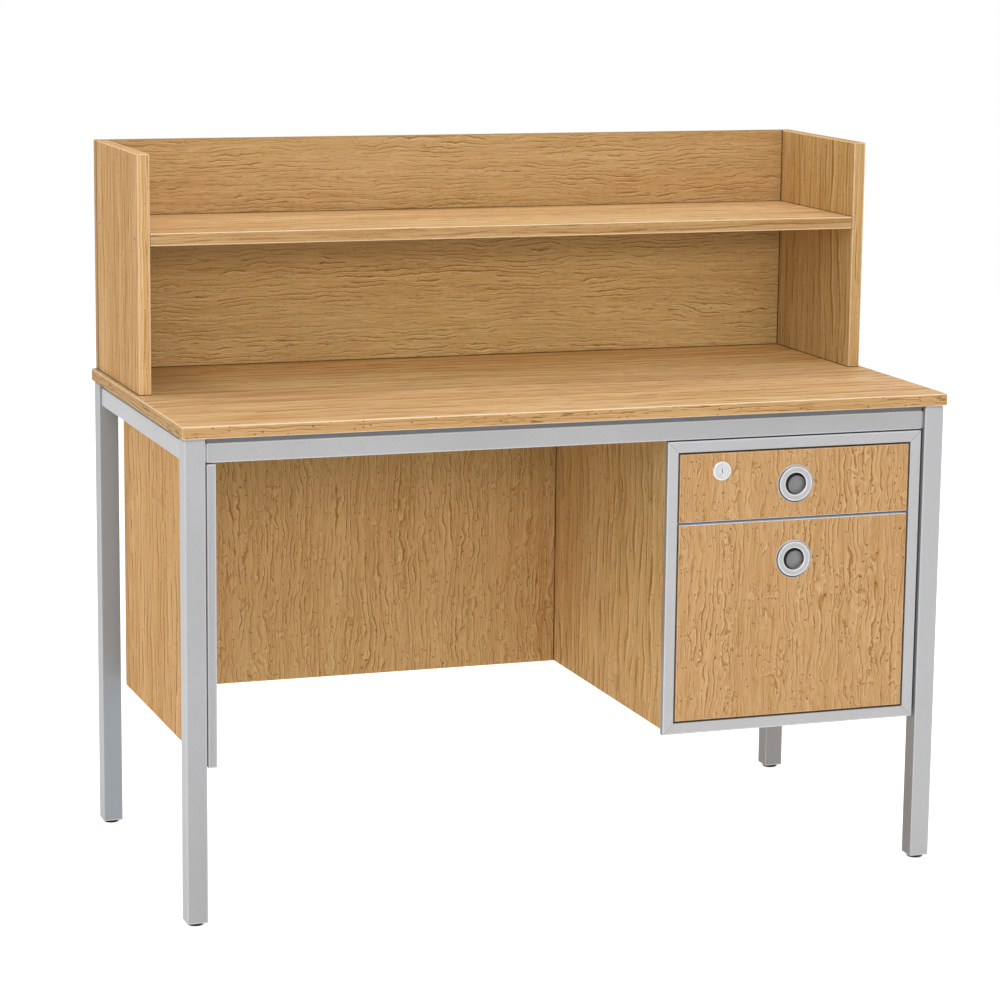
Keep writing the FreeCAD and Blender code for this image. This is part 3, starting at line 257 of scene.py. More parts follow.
def oak(name, lo, hi, grain, normal, seed, style, dark=(), light=0.62, edge=0.0014, tint=None, fade=None, box=None, slate=None,
        glints=(), rims=(), gloss=0.05):
    """Oak laminate on a board: grain and normal are the axes (0, 1, 2) that the
    lines run along and that the large faces look along. dark lists bands of
    shadow at joints: (axis, value, half width, strength, ((axis, lo, hi), ...)),
    and glints painted highlight lines in the same form. tint multiplies the colour; fade
    (axis, from, to, tint) goes over to another tint along an axis. slate
    (axis, sign) makes the narrow edge that looks that way a pale blue-grey, painted light in the shaded gap between
    drawer fronts; rims ((axis, sign, tint), ...)
    gives the faces that look that way (either way if sign is 0) their own tint."""
    s = STYLES[style]
    g = Graph(name)
    t = 3 - grain - normal
    obj = g.coord("Object")
    p = g.split(obj)
    nrm = g.split(g.coord("Normal"))
    off = (0.37 * seed + 0.11, 0.83 * seed - 0.29, 1.31 * seed + 0.53)
    along = g.join(g.math("MULTIPLY_ADD", p[grain], s["run"], off[0]), g.math("MULTIPLY_ADD", p[t], s["across"], off[1]),
                   g.math("ADD", p[normal], off[2]))
    ends = g.join(g.math("MULTIPLY_ADD", p[t], s["run"], off[1] + 3.1), g.math("ADD", p[normal], off[2] + 1.7), g.math("ADD", p[grain], off[0]))
    at_end = g.math("GREATER_THAN", g.math("ABSOLUTE", nrm[grain]), 0.75)
    v = g.vpick(at_end, along, ends)

    # The lines drift slowly across the board and waver on a small scale.
    drift = g.noise(g.vmath("MULTIPLY", v, (1.9, 5.0, 5.0)), detail=2.0, rough=0.5, colour=True)
    drift = g.vmath("MULTIPLY", g.vmath("SUBTRACT", drift, (0.5, 0.5, 0.5)), (0.0, s["wander"] * 4, s["wander"] * 4))
    wave = g.noise(g.vmath("MULTIPLY", v, (42.0, 60.0, 60.0)), detail=2.0, rough=0.5, colour=True)
    wave = g.vmath("MULTIPLY", g.vmath("SUBTRACT", wave, (0.5, 0.5, 0.5)), (0.003, s["curl"] * 4, s["curl"] * 4))
    w = g.vmath("ADD", g.vmath("ADD", v, drift), wave)
    ws = g.split(w)
    face = g.math("ADD", ws[1], ws[2])

    broad = g.noise(g.vmath("MULTIPLY", w, (1.2, 15.0, 15.0)), detail=2.0, rough=0.5)
    medium = g.noise(g.vmath("MULTIPLY", w, (3.6, 78.0, 78.0)), detail=2.0, rough=0.55)
    fine = g.noise(g.vmath("MULTIPLY", w, (9.0, 290.0, 290.0)), detail=2.0, rough=0.6)
    tone = g.math("MULTIPLY", g.math("SUBTRACT", broad, 0.5), 0.50 * s["broad"])
    tone = g.math("MULTIPLY_ADD", g.math("SUBTRACT", medium, 0.5), 0.30 + 0.50 * s["soft"], tone)
    tone = g.math("MULTIPLY_ADD", g.math("SUBTRACT", fine, 0.5), 0.52 * s["streak"], tone)
    tone = g.math("ADD", tone, 0.60 + s["tone"])
    col = g.colours(tone, [(0.08, OAK_DARK), (0.33, OAK_WARM), (0.58, OAK_MID), (0.84, OAK_LIGHT)])

    # Growth lines: each dark line has a pale one along its side, and they come
    # and go in strokes of a few centimetres.
    def growth(per_metre, swell, patch, dash, shift, soft):
        bend = g.noise(g.vmath("MULTIPLY", w, (patch[0], patch[1], patch[1])), detail=1.3, rough=0.45)
        c = g.math("ADD", g.math("MULTIPLY", face, per_metre), g.math("MULTIPLY", bend, swell))
        show = g.ramp(g.noise(g.vmath("ADD", g.vmath("MULTIPLY", w, (dash[0], dash[1], dash[1])), (shift, shift, shift)), detail=0.6), 0.40, 0.54)
        out = []
        for lead in (0.0, 0.24):
            d = g.math("ABSOLUTE", g.math("SUBTRACT", g.math("FRACT", g.math("ADD", c, lead)), 0.5))
            out.append(g.math("MULTIPLY", g.ramp(d, 0.03, soft, 1.0, 0.0), show))
        return out

    place = g.ramp(g.noise(g.vmath("MULTIPLY", w, (4.0, 17.0, 17.0)), detail=1.0, rough=0.5), 0.36, 0.64, 0.45, 1.0)
    deep, pale = growth(s["lines"], s["swell"], s["patch"], (24.0, 104.0), 0.0, 0.185)
    deep2, pale2 = growth(s["lines"] * 2.2, s["swell"] * 0.7, (s["patch"][0] * 1.6, s["patch"][1] * 1.7), (36.0, 180.0), 7.3, 0.20)
    deep, pale = g.math("MULTIPLY", deep, place), g.math("MULTIPLY", pale, place)
    col = g.mix(g.math("MULTIPLY", pale2, 0.45 * s["under"]), col, OAK_PALE)
    col = g.mix(g.math("MULTIPLY", deep2, 0.55 * s["under"]), col, OAK_LINE)
    col = g.mix(g.math("MULTIPLY", pale, 0.48 * s["stroke"]), col, OAK_PALE)
    col = g.mix(g.math("MULTIPLY", deep, 0.78 * s["stroke"]), col, OAK_LINE)
    height = g.math("SUBTRACT", g.math("MULTIPLY", pale, 0.5), g.math("MULTIPLY", deep, 0.8))
    height = g.math("MULTIPLY_ADD", g.math("SUBTRACT", pale2, deep2), 0.3, height)

    # Scattered closed contours of the figure.
    if s["figure"]:
        loops = g.noise(g.vmath("MULTIPLY", w, (26.0, 58.0, 58.0)), detail=1.0, rough=0.4, dist=0.3)
        spot = g.ramp(g.noise(g.vmath("MULTIPLY", w, (12.0, 26.0, 26.0)), detail=1.0, rough=0.5), 0.50, 0.60)
        c = g.math("MULTIPLY", loops, 5.0)
        d = g.math("ABSOLUTE", g.math("SUBTRACT", g.math("FRACT", c), 0.5))
        e = g.math("ABSOLUTE", g.math("SUBTRACT", g.math("FRACT", g.math("ADD", c, 0.20)), 0.5))
        ring = g.math("MULTIPLY", g.ramp(d, 0.02, 0.10, 1.0, 0.0), spot)
        halo = g.math("MULTIPLY", g.ramp(e, 0.02, 0.10, 1.0, 0.0), spot)
        col = g.mix(g.math("MULTIPLY", halo, 0.60 * s["figure"]), col, OAK_PALE)
        col = g.mix(g.math("MULTIPLY", ring, 0.75 * s["figure"]), col, OAK_LINE)
        height = g.math("ADD", height, g.math("MULTIPLY", g.math("SUBTRACT", halo, ring), 0.6 * s["figure"]))

    # Pores: short dark dashes along the grain, gathered in bands.
    dash = g.noise(g.vmath("MULTIPLY", w, (44.0, 300.0, 300.0)), detail=1.0, rough=0.4)
    gather = g.noise(g.vmath("MULTIPLY", w, (6.0, 40.0, 40.0)), detail=1.0, rough=0.5)
    pores = g.math("MULTIPLY", g.ramp(dash, 0.60, 0.70), g.ramp(gather, 0.40, 0.62, 0.10, 1.0))
    col = g.mix(g.math("MULTIPLY", pores, 0.62 * s["pores"]), col, OAK_PORE)
    height = g.math("SUBTRACT", height, g.math("MULTIPLY", pores, 0.9))
    if s["dots"]:
        cell = g.join(g.math("MULTIPLY", ws[0], 80.0 / s["run"]), g.math("MULTIPLY", face, 92.0 / s["across"]), 0.0)
        near = g.cells(cell, flat=True)
        pick = g.split(g.cells(cell, out="Color", flat=True))[0]
        dots = g.math("MULTIPLY", g.ramp(near, 0.07, 0.15, 1.0, 0.0), g.math("GREATER_THAN", pick, 0.79))
        col = g.mix(g.math("MULTIPLY", dots, 0.85 * s["dots"]), col, OAK_DOT)
        height = g.math("SUBTRACT", height, g.math("MULTIPLY", dots, 0.4))
    # Painted light and shade: where a board call gives a tint, fade or rims to lighten or darken the board, a stretch
    # of it or its faces by the light it gets.
    if tint is not None:
        shift = tuple(tint) + (1.0,)
        if fade is not None:
            shift = g.mix(g.ramp(p[fade[0]], fade[1], fade[2]), shift, tuple(fade[3]) + (1.0,))
        for axis, sign, own in rims:
            way = g.math("MULTIPLY", nrm[axis], float(sign)) if sign else g.math("ABSOLUTE", nrm[axis])
            shift = g.mix(g.math("GREATER_THAN", way, 0.8), shift, tuple(own) + (1.0,))
        col = g.mix(1.0, col, shift, "MULTIPLY")

    # Board edges: a pale painted highlight of uneven width runs along the rounded
    # arris, and a joint with the next board is a thin dark line; wider dark bands are painted shade.
    blo, bhi = box if box is not None else (lo, hi)
    near_edge = g.edge_distance(p, blo, bhi)
    uneven_highlight = g.noise(g.vmath("MULTIPLY", obj, (60.0, 60.0, 60.0)), detail=2.0)
    reach = g.math("MULTIPLY", g.ramp(uneven_highlight, 0.3, 0.7, 0.75, 1.25), edge)
    rim = g.math("SUBTRACT", 1.0, g.ramp(g.math("DIVIDE", near_edge, reach), 0.45, 1.0))
    shade = None
    for axis, value, half, strength, ranges in dark:
        m = g.math("MULTIPLY", g.band(p[axis], value, half), strength)
        for ax, a, b in ranges:
            m = g.math("MULTIPLY", m, g.within(p[ax], a, b))
        shade = m if shade is None else g.math("MAXIMUM", shade, m)
    if shade is not None:
        rim = g.math("MULTIPLY", rim, g.math("SUBTRACT", 1.0, shade))
    col = g.mix(g.math("MULTIPLY", rim, light), col, OAK_PALE)
    # Dark joint lines and wide bands of painted shade.
    if shade is not None:
        col = g.mix(shade, col, SEAM_AND_SHADE)
    # Painted highlights along chosen edges.
    for axis, value, half, strength, ranges in glints:
        m = g.math("MULTIPLY", g.band(p[axis], value, half), strength)
        for ax, a, b in ranges:
            m = g.math("MULTIPLY", m, g.within(p[ax], a, b))
        col = g.mix(m, col, ARRIS_HIGHLIGHT)
    # Pale blue-grey narrow edge: painted light in the shaded gap between the drawer fronts.
    if slate is not None:
        narrow = g.math("GREATER_THAN", g.math("MULTIPLY", nrm[slate[0]], float(slate[1])), 0.5)
        col = g.mix(g.math("MULTIPLY", narrow, 0.92), col, GAP_LIGHT_GREY)

    g.put(g.shader.inputs["Base Color"], col)
    rough = g.math("MULTIPLY_ADD", g.math("SUBTRACT", medium, 0.5), 0.22, 0.50)
    rough = g.math("MULTIPLY_ADD", pores, 0.20, rough)
    g.put(g.shader.inputs["Roughness"], rough)
    g.shader.inputs["Specular IOR Level"].default_value = gloss
    emboss = g.math("MULTIPLY_ADD", fine, 0.35, height)
    g.put(g.shader.inputs["Normal"], g.bump(emboss, 0.26 * s["relief"], 0.00022))
    return g.mat


# ----------------------------------------------------------------- steel paint
def silver(name, lo=None, hi=None, level=1.0, shade=(), rim=0.5, faces=(), seam=None):
    """Satin silver-grey powder coat, paler on a tube's rounded corners. faces
    lists (axis, sign, strength, tone): faces that look that way take that tone.
    seam is the (x0, x1, z0, z1, width) of a frame that is mitred at its corners."""
    g = Graph(name)
    obj = g.coord("Object")
    cloud = g.noise(obj, scale=5.0, detail=3.0)
    grain = g.noise(obj, scale=520.0, detail=2.0, rough=0.6)
    flake = g.cells(obj, scale=1500.0, out="Color")
    spark = g.split(flake)[0]
    base = (0.455 * level, 0.458 * level, 0.468 * level, 1.0)
    dim = tuple(c * 0.90 for c in base[:3]) + (1.0,)
    bright = tuple(min(1.0, c * 1.16) for c in base[:3]) + (1.0,)
    t = g.math("ADD", g.math("MULTIPLY", g.math("SUBTRACT", cloud, 0.5), 0.7), g.math("MULTIPLY", g.math("SUBTRACT", grain, 0.5), 0.55))
    t = g.math("ADD", t, g.math("MULTIPLY", g.math("SUBTRACT", spark, 0.5), 0.30))
    col = g.colours(g.math("ADD", t, 0.5), [(0.15, dim), (0.50, base), (0.85, bright)])
    p = g.split(obj)
    # Painted highlight along the rounded corners.
    if lo is not None:
        d = g.edge_distance(p, lo, hi)
        r = g.ramp(d, 0.0006, 0.0030, 1.0, 0.0)
        col = g.mix(g.math("MULTIPLY", r, rim), col, (0.78, 0.79, 0.82, 1.0))
    # Bands of painted shade and dark mitre lines.
    dark = None
    for axis, value, half, strength, ranges in shade:
        m = g.math("MULTIPLY", g.band(p[axis], value, half), strength)
        for ax, a, b in ranges:
            m = g.math("MULTIPLY", m, g.within(p[ax], a, b))
        dark = m if dark is None else g.math("MAXIMUM", dark, m)
    if seam is not None:
        x0, x1, z0, z1, width = seam
        dx = g.math("MINIMUM", g.math("SUBTRACT", p[0], x0), g.math("SUBTRACT", x1, p[0]))
        dz = g.math("MINIMUM", g.math("SUBTRACT", p[2], z0), g.math("SUBTRACT", z1, p[2]))
        m = g.math("MULTIPLY", g.band(g.math("SUBTRACT", dx, dz), 0.0, 0.0010), g.math("LESS_THAN", dx, width))
        m = g.math("MULTIPLY", m, 0.42)
        dark = m if dark is None else g.math("MAXIMUM", dark, m)
    if dark is not None:
        col = g.mix(dark, col, (0.16, 0.175, 0.205, 1.0))
    # Faces that look one way take their own tone: painted light and shade.
    nrm = g.split(g.coord("Normal"))
    for axis, sign, strength, tone in faces:
        m = g.ramp(g.math("MULTIPLY", nrm[axis], sign), 0.80, 0.97, 0.0, strength)
        col = g.mix(m, col, tone)
    g.put(g.shader.inputs["Base Color"], col)
    g.shader.inputs["Metallic"].default_value = 0.20
    g.put(g.shader.inputs["Roughness"], g.math("ADD", 0.36, g.math("MULTIPLY", g.math("SUBTRACT", grain, 0.5), 0.16)))
    g.shader.inputs["Specular IOR Level"].default_value = 0.45
    g.put(g.shader.inputs["Normal"], g.bump(g.math("ADD", grain, g.math("MULTIPLY", cloud, 0.3)), 0.16, 0.00012))
    return g.mat


def steel(name, base=(0.55, 0.565, 0.58), rough=0.34, axis=1, metallic=1.0, spot=0.5):
    """Zinc-plated or plain sheet steel with a fine rolled grain along one axis."""
    g = Graph(name)
    obj = g.coord("Object")
    stretch = [260.0, 260.0, 260.0]
    stretch[axis] = 9.0
    lines = g.noise(g.vmath("MULTIPLY", obj, tuple(stretch)), detail=4.0, rough=0.65)
    cloud = g.noise(obj, scale=24.0, detail=4.0, rough=0.6)
    spangle = g.cells(obj, scale=210.0, out="Color")
    s = g.split(spangle)[0]
    t = g.math("ADD", g.math("MULTIPLY", lines, 0.45), g.math("MULTIPLY", cloud, 0.40))
    t = g.math("ADD", t, g.math("MULTIPLY", s, 0.15 * spot * 2))
    a = tuple(c * 0.70 for c in base) + (1.0,)
    b = tuple(base) + (1.0,)
    c = tuple(min(1.0, x * 1.22) for x in base) + (1.0,)
    g.put(g.shader.inputs["Base Color"], g.colours(t, [(0.22, a), (0.50, b), (0.80, c)]))
    g.shader.inputs["Metallic"].default_value = metallic
    g.put(g.shader.inputs["Roughness"], g.math("ADD", rough - 0.08, g.math("MULTIPLY", cloud, 0.18)))
    g.put(g.shader.inputs["Normal"], g.bump(lines, 0.10, 0.00008))
    return g.mat


def turned_metal(name, centre, base, rough, metallic=0.9, rings=2600.0, edges=(), depth=0.10, rim_shadow=None, shade_tilt=None):
    """Metal turned about an axis along Y, with fine concentric tool marks.
    edges lists (radius, half width, strength, tone, lean) of lines round the axis: painted highlights, painted shade
    and darker rings;
    lean (x, z, lo, hi) makes a line stronger towards one side, to paint shade or light falling on that side. well (x,
    z, radius, tone) paints all that is farther than radius from (x, z) in a dark tone, a painted shadow of the rim.
    tilt (x, z, reach, low, high), a painted shading, multiplies the colour from low to high along
    that direction."""
    g = Graph(name)
    obj = g.coord("Object")
    p = g.split(g.vmath("SUBTRACT", obj, tuple(centre)))
    r = g.math("SQRT", g.math("ADD", g.math("MULTIPLY", p[0], p[0]), g.math("MULTIPLY", p[2], p[2])))
    marks = g.noise(g.join(g.math("MULTIPLY", r, rings), 0.0, g.math("MULTIPLY", p[1], rings)), detail=3.0, rough=0.6)
    smudge = g.noise(obj, scale=70.0, detail=3.0)
    t = g.math("ADD", g.math("MULTIPLY", marks, 0.55), g.math("MULTIPLY", smudge, 0.45))
    a = tuple(c * 0.84 for c in base) + (1.0,)
    b = tuple(base) + (1.0,)
    c = tuple(min(1.0, x * 1.12) for x in base) + (1.0,)
    col = g.colours(t, [(0.25, a), (0.50, b), (0.78, c)])
    # Painted shading: darker on one side, lighter on the other.
    if shade_tilt is not None:
        side = g.math("ADD", g.math("MULTIPLY", p[0], shade_tilt[0]), g.math("MULTIPLY", p[2], shade_tilt[1]))
        gain = g.ramp(side, -shade_tilt[2], shade_tilt[2], shade_tilt[3], shade_tilt[4], smooth=False)
        col = g.vmath("SCALE", col, scale=gain)
    # Lines round the axis: painted highlights and painted shade.
    for radius, half, strength, tone, lean in edges:
        m = g.math("MULTIPLY", g.band(r, radius, half), strength)
        if lean is not None:
            side = g.math("ADD", g.math("MULTIPLY", p[0], lean[0]), g.math("MULTIPLY", p[2], lean[1]))
            side = g.math("DIVIDE", side, g.math("MAXIMUM", r, 0.001))
            m = g.math("MULTIPLY", m, g.ramp(side, lean[2], lean[3]))
        col = g.mix(m, col, tuple(tone) + (1.0,))
    # Painted shadow of the rim.
    if rim_shadow is not None:
        wx, wz, radius, tone = rim_shadow
        dx, dz = g.math("SUBTRACT", p[0], wx), g.math("SUBTRACT", p[2], wz)
        d = g.math("SQRT", g.math("ADD", g.math("MULTIPLY", dx, dx), g.math("MULTIPLY", dz, dz)))
        col = g.mix(g.ramp(d, radius - 0.0006, radius + 0.0006), col, tuple(tone) + (1.0,))
    g.put(g.shader.inputs["Base Color"], col)
    g.shader.inputs["Metallic"].default_value = metallic
    g.put(g.shader.inputs["Roughness"], g.math("ADD", rough, g.math("MULTIPLY", g.math("SUBTRACT", smudge, 0.5), 0.14)))
    g.put(g.shader.inputs["Normal"], g.bump(marks, depth, 0.00006))
    return g.mat


def plastic(name, base, rough=0.5, grain=700.0, depth=0.2, vary=0.12, metallic=0.0):
    g = Graph(name)
    obj = g.coord("Object")
    fine = g.noise(obj, scale=grain, detail=2.0)
    cloud = g.noise(obj, scale=30.0, detail=3.0)
    t = g.math("ADD", g.math("MULTIPLY", fine, 0.4), g.math("MULTIPLY", cloud, 0.6))
    a = tuple(c * (1 - vary * 1.6) for c in base) + (1.0,)
    b = tuple(min(1.0, c * (1 + vary * 1.6)) for c in base) + (1.0,)
    g.put(g.shader.inputs["Base Color"], g.colours(t, [(0.25, a), (0.75, b)]))
    g.shader.inputs["Metallic"].default_value = metallic
    g.put(g.shader.inputs["Roughness"], g.math("ADD", rough - 0.08, g.math("MULTIPLY", cloud, 0.16)))
    g.put(g.shader.inputs["Normal"], g.bump(fine, depth, 0.0001))
    return g.mat


def birch(name, grain, seed):
    """Pale drawer-box board with a faint long grain."""
    g = Graph(name)
    obj = g.coord("Object")
    stretch = [70.0, 70.0, 70.0]
    stretch[grain] = 3.0
    v = g.vmath("ADD", obj, (seed * 0.7, seed * 1.3, seed * 2.1))
    lines = g.noise(g.vmath("MULTIPLY", v, tuple(stretch)), detail=4.0, rough=0.6)
    fine = g.noise(g.vmath("MULTIPLY", v, tuple(c * 6 for c in stretch)), detail=2.0)
    t = g.math("ADD", g.math("MULTIPLY", lines, 0.7), g.math("MULTIPLY", fine, 0.3))
    g.put(g.shader.inputs["Base Color"], g.colours(t, [(0.30, srgb(196, 168, 128)), (0.52, srgb(220, 197, 160)), (0.74, srgb(233, 214, 182))]))
    g.put(g.shader.inputs["Roughness"], g.math("ADD", 0.48, g.math("MULTIPLY", lines, 0.14)))
    g.put(g.shader.inputs["Normal"], g.bump(fine, 0.2, 0.0001))
    return g.mat


# --------------------------------------------------------------- wooden boards
X, Y, Z = 0, 1, 2
HUTCH_L, HUTCH_R = (8.0, 27.0), (1192.0, 1211.0)
HUTCH_Y, BACK_Y = 305.0, 591.0
SHELF_Z = (976.0, 995.0)
TOP_Z = 749.0
W1 = 0.0016
hutch_y = ((Y, py(HUTCH_Y - 1), py(DESK_D + 1)),)


def board(node, grain, normal, seed, style, dark=(), **kw):
    lo, hi = extent(node)
    paint(NODES[node], oak("oak_" + node, lo, hi, grain, normal, seed, style, dark, **kw))


in_hutch_x = ((X, px(26), px(1193)),)
NEAR_FACE = (Y, -1, py(BACK_Y + 1))
# Desktop: its tint and the lighter fade towards the back, under the hutch, are painted light; the wide band beside the
# hutch's left side is painted shade; the thin bands are dark joint lines.
board("desktop_board", X, Z, 1, "top", light=0.0, tint=(1.07, 1.10, 1.12), fade=(Y, -0.03, 0.05, (1.38, 1.62, 1.60)), dark=(
    (X, px(27), 0.18, 0.24, hutch_y),
    (X, px(27), W1, 0.80, hutch_y), (X, px(1192), W1, 0.80, hutch_y),
    (X, px(8), W1, 0.75, hutch_y), (X, px(1211), W1, 0.75, hutch_y),
    (Y, py(HUTCH_Y), W1, 0.75, ((X, px(7), px(28)),)), (Y, py(HUTCH_Y), W1, 0.75, ((X, px(1191), px(1212)),)),
    (Y, py(BACK_Y), 0.0022, 0.85, in_hutch_x)))
# Desktop edging: the pale rim and the glints are painted highlights along its top arrises and its lower front edge; the
# thin bands are dark joint lines.
lo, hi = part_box("desktop_edging")
paint(NODES["desktop_edging"], oak("oak_desktop_edging", lo, hi, X, Z, 2, "edging", light=0.45, edge=0.0026, tint=(0.90, 0.88, 0.80), glints=(
    (Y, py(0.9), 0.0020, 0.72, ((Z, 0.7474, 0.76),)), (X, px(0.9), 0.0022, 0.45, ((Z, 0.7474, 0.76),)),
    (Z, pz(730.6), 0.0018, 0.32, ((Y, -1, py(3)),))), dark=(
    (X, px(8), W1, 0.75, hutch_y + ((Z, 0.7485, 0.76),)), (X, px(1211), W1, 0.75, hutch_y + ((Z, 0.7485, 0.76),)))))
# Hutch shelf: its front edge takes a darker tint than its top, painted shade; the glints are painted highlights along
# its front arris and lower front edge; the thin bands are dark joint lines.
board("hutch_shelf", X, Z, 3, "shelf", tint=(0.81, 0.82, 0.75), fade=(Y, py(306.6), py(308.2), (1.03, 1.05, 1.03)), edge=0.0020, glints=(
    (Y, py(306.8), 0.0022, 0.75, ((Z, pz(994.0), 2),)), (Z, pz(976.6), 0.0018, 0.45, ((Y, -1, py(308)),))), dark=(
    (X, px(27), W1, 0.8, ()), (X, px(1192), W1, 0.8, ()), (Y, py(BACK_Y), 0.0024, 0.8, ())))
# Hutch back: lighter below the shelf, with another tint above it, painted light; wide bands of painted shade under the
# shelf and beside the sides; the thin bands are dark joint lines. The rims tone its ends and keep its rear face near
# its own colour.
board("hutch_back", X, Y, 4, "back", tint=(1.11, 1.29, 1.22), fade=(Z, 0.976, 0.995, (0.88, 0.93, 0.86)), dark=(
    (Z, pz(976), 0.100, 0.34, ((Z, 0.7, pz(977)), NEAR_FACE)), (X, px(27), 0.085, 0.16, ((Z, 0.7, pz(977)), NEAR_FACE)),
    (X, px(1192), 0.06, 0.10, ((Z, 0.7, pz(977)), NEAR_FACE)),
    (X, px(27), W1, 0.85, (NEAR_FACE,)), (X, px(1192), W1, 0.85, (NEAR_FACE,)), (Z, pz(TOP_Z), 0.0020, 0.85, ()),
    (Z, pz(SHELF_Z[0]), W1, 0.7, in_hutch_x + (NEAR_FACE,)), (Z, pz(SHELF_Z[1]), W1, 0.7, in_hutch_x + (NEAR_FACE,)),
    (Y, py(BACK_Y), 0.0034, 0.80, ((X, -1, px(8.6)),)), (Y, py(BACK_Y), 0.0034, 0.80, ((X, px(1210.4), 1),)),
    (Y, py(BACK_Y), W1, 0.85, ((Z, pz(1114.4), 2),))), rims=((X, 0, (0.93, 0.87, 0.74)), (Y, 1, (0.98, 0.99, 0.96))))
# Hutch sides: the tints, the right side's darker fade above the shelf and the rims on their faces are painted light and
# shade; the pale rim is a painted highlight; the thin bands are dark joint lines.
for tag, inner, seed, tint, fade, rims in (
        ("left", HUTCH_L[1], 5, (1.04, 1.02, 0.97), None, ((Y, 0, (1.12, 1.18, 1.18)),)),
        ("right", HUTCH_R[0], 6, (0.88, 1.02, 0.96), (Z, 0.976, 0.995, (0.82, 0.85, 0.71)), ((Y, 0, (0.92, 0.95, 0.86)), (X, 1, (1.0, 1.0, 0.98))))):
    near_inner = ((X, px(inner) - 0.0015, px(inner) + 0.0015), (Y, py(HUTCH_Y), 1))
    board("hutch_%s_side" % tag, Z, X, seed, "side", tint=tint, fade=fade, rims=rims, gloss=0.006, light=0.85, edge=0.0024, dark=(
        (Y, py(BACK_Y), 0.0034, 0.80, ()), (Z, pz(TOP_Z), 0.0019, 0.85, ()),
        (Z, pz(SHELF_Z[0]), W1, 0.7, near_inner), (Z, pz(SHELF_Z[1]), W1, 0.7, near_inner)))
# Modesty panel: its tint is painted light and shade, and it grows darker towards the top, under the desktop, painted
# shade; the thin bands are dark joint lines.
board("modesty_panel", Z, Y, 7, "panel", tint=(0.94, 0.98, 0.89), fade=(Z, 0.44, 0.70, (0.61, 0.70, 0.60)), rims=((Y, 1, (0.98, 0.99, 0.94)),), dark=((X, px(758.5), 0.0022, 0.85, ()), (X, px(52.5), 0.0022, 0.8, ())))
# Left end panel: its tint is painted light.
board("left_end_panel", Z, X, 8, "flank", tint=(1.05, 1.01, 0.92), gloss=0.006, rims=((X, 1, (1.0, 1.0, 0.98)),), dark=((Y, py(543), W1, 0.5, ()),))
# Pedestal left side: its lighter tint is painted light, and it grows darker towards the top, under the desktop, painted
# shade.
board("pedestal_left_side", Z, X, 9, "flank", tint=(1.14, 1.22, 1.15), gloss=0.006, fade=(Z, 0.28, 0.68, (0.88, 0.99, 0.89)), rims=((X, 1, (1.0, 1.0, 0.98)),), dark=((Y, py(503), 0.0022, 0.85, ()),))
board("pedestal_right_side", Z, X, 10, "flank", gloss=0.006)
board("pedestal_top", Y, Z, 11, "side")
board("pedestal_bottom", Y, Z, 12, "side")
board("pedestal_back", Z, Y, 13, "panel")
# Drawer fronts: the narrow edges toward the gap between them are a pale blue-grey, painted light in the shaded gap.
board("upper_drawer_front", Z, Y, 14, "front", tint=(0.91, 0.88, 0.83), slate=(Z, -1))
board("lower_drawer_front", Z, Y, 15, "front", tint=(0.90, 0.87, 0.82), slate=(Z, 1))

# ----------------------------------------------------------------- steel frame
SHADE = (0.155, 0.165, 0.185, 1.0)
# Legs: faces that look one way take their own tone, painted light and shade: lighter left faces on the left legs,
# darker left faces on the right legs, a lighter front on the front right leg, darker fronts on the rear legs.
for node in ("leg_front_left", "leg_front_right", "leg_rear_left", "leg_rear_right"):
    lo, hi = extent(node, lambda c: c[:, 2] < 0.5)
    hi = Vector((hi.x, hi.y, 0.9))
    lo = Vector((lo.x, lo.y, -0.2))
    faces = {
        "leg_front_left": ((X, -1, 0.45, (0.74, 0.75, 0.79, 1.0)),),
        "leg_front_right": ((X, -1, 0.85, (0.250, 0.255, 0.265, 1.0)), (Y, -1, 0.8, (0.535, 0.54, 0.55, 1.0))),
        "leg_rear_left": ((X, -1, 0.28, (0.66, 0.67, 0.69, 1.0)), (Y, -1, 0.75, (0.345, 0.395, 0.45, 1.0))),
        "leg_rear_right": ((X, -1, 0.90, (0.29, 0.29, 0.295, 1.0)), (Y, -1, 0.95, (0.37, 0.37, 0.375, 1.0))),
    }[node]
    paint(NODES[node], silver("silver_" + node, lo, hi, faces=faces))
# Rails: a painted highlight along their rounded corners; the left rail is painted lighter, painted light.
for node in ("front_rail", "rear_rail", "left_rail", "right_rail", "end_panel_bar"):
    lo, hi = extent(node)
    paint(NODES[node], silver("silver_" + node, lo, hi, rim=0.6, level=1.42 if node == "left_rail" else 1.0))
# Drawer frame: painted lighter than the legs, painted light, with a painted highlight along its edges and painted shade
# on its uprights' side faces and its crossbars' top faces; the mitre lines are joints.
lo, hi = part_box("pedestal_frame_uprights")
seam = (lo.x, hi.x, lo.z, hi.z, 0.0176)
paint(NODES["pedestal_frame_uprights"], silver("silver_frame_uprights", lo, hi, level=1.20, rim=0.6, seam=seam, faces=(
    (X, -1, 0.90, (0.31, 0.315, 0.33, 1.0)), (X, 1, 0.60, SHADE))))
paint(NODES["pedestal_frame_crossbars"], silver("silver_frame_crossbars", lo, hi, level=1.15, rim=0.7, seam=seam, faces=(
    (Z, 1, 0.55, SHADE),)))
# Divider: far lighter, with a near-white front face: painted light in the gap between the drawer fronts.
paint(NODES["drawer_divider"], silver("silver_divider", level=1.8, faces=((Y, -1, 1.0, (0.88, 0.95, 1.0, 1.0)),)))
paint(NODES["rail_spigots"], silver("silver_spigots"))
# Spacer strips: the dark blue-grey is the tone of the shaded line under the rails, painted shade.
paint(NODES["rail_spacers"], plastic("slate_strip_painted_shade", (0.150, 0.175, 0.205), 0.55, grain=260.0, depth=0.15, vary=0.10))

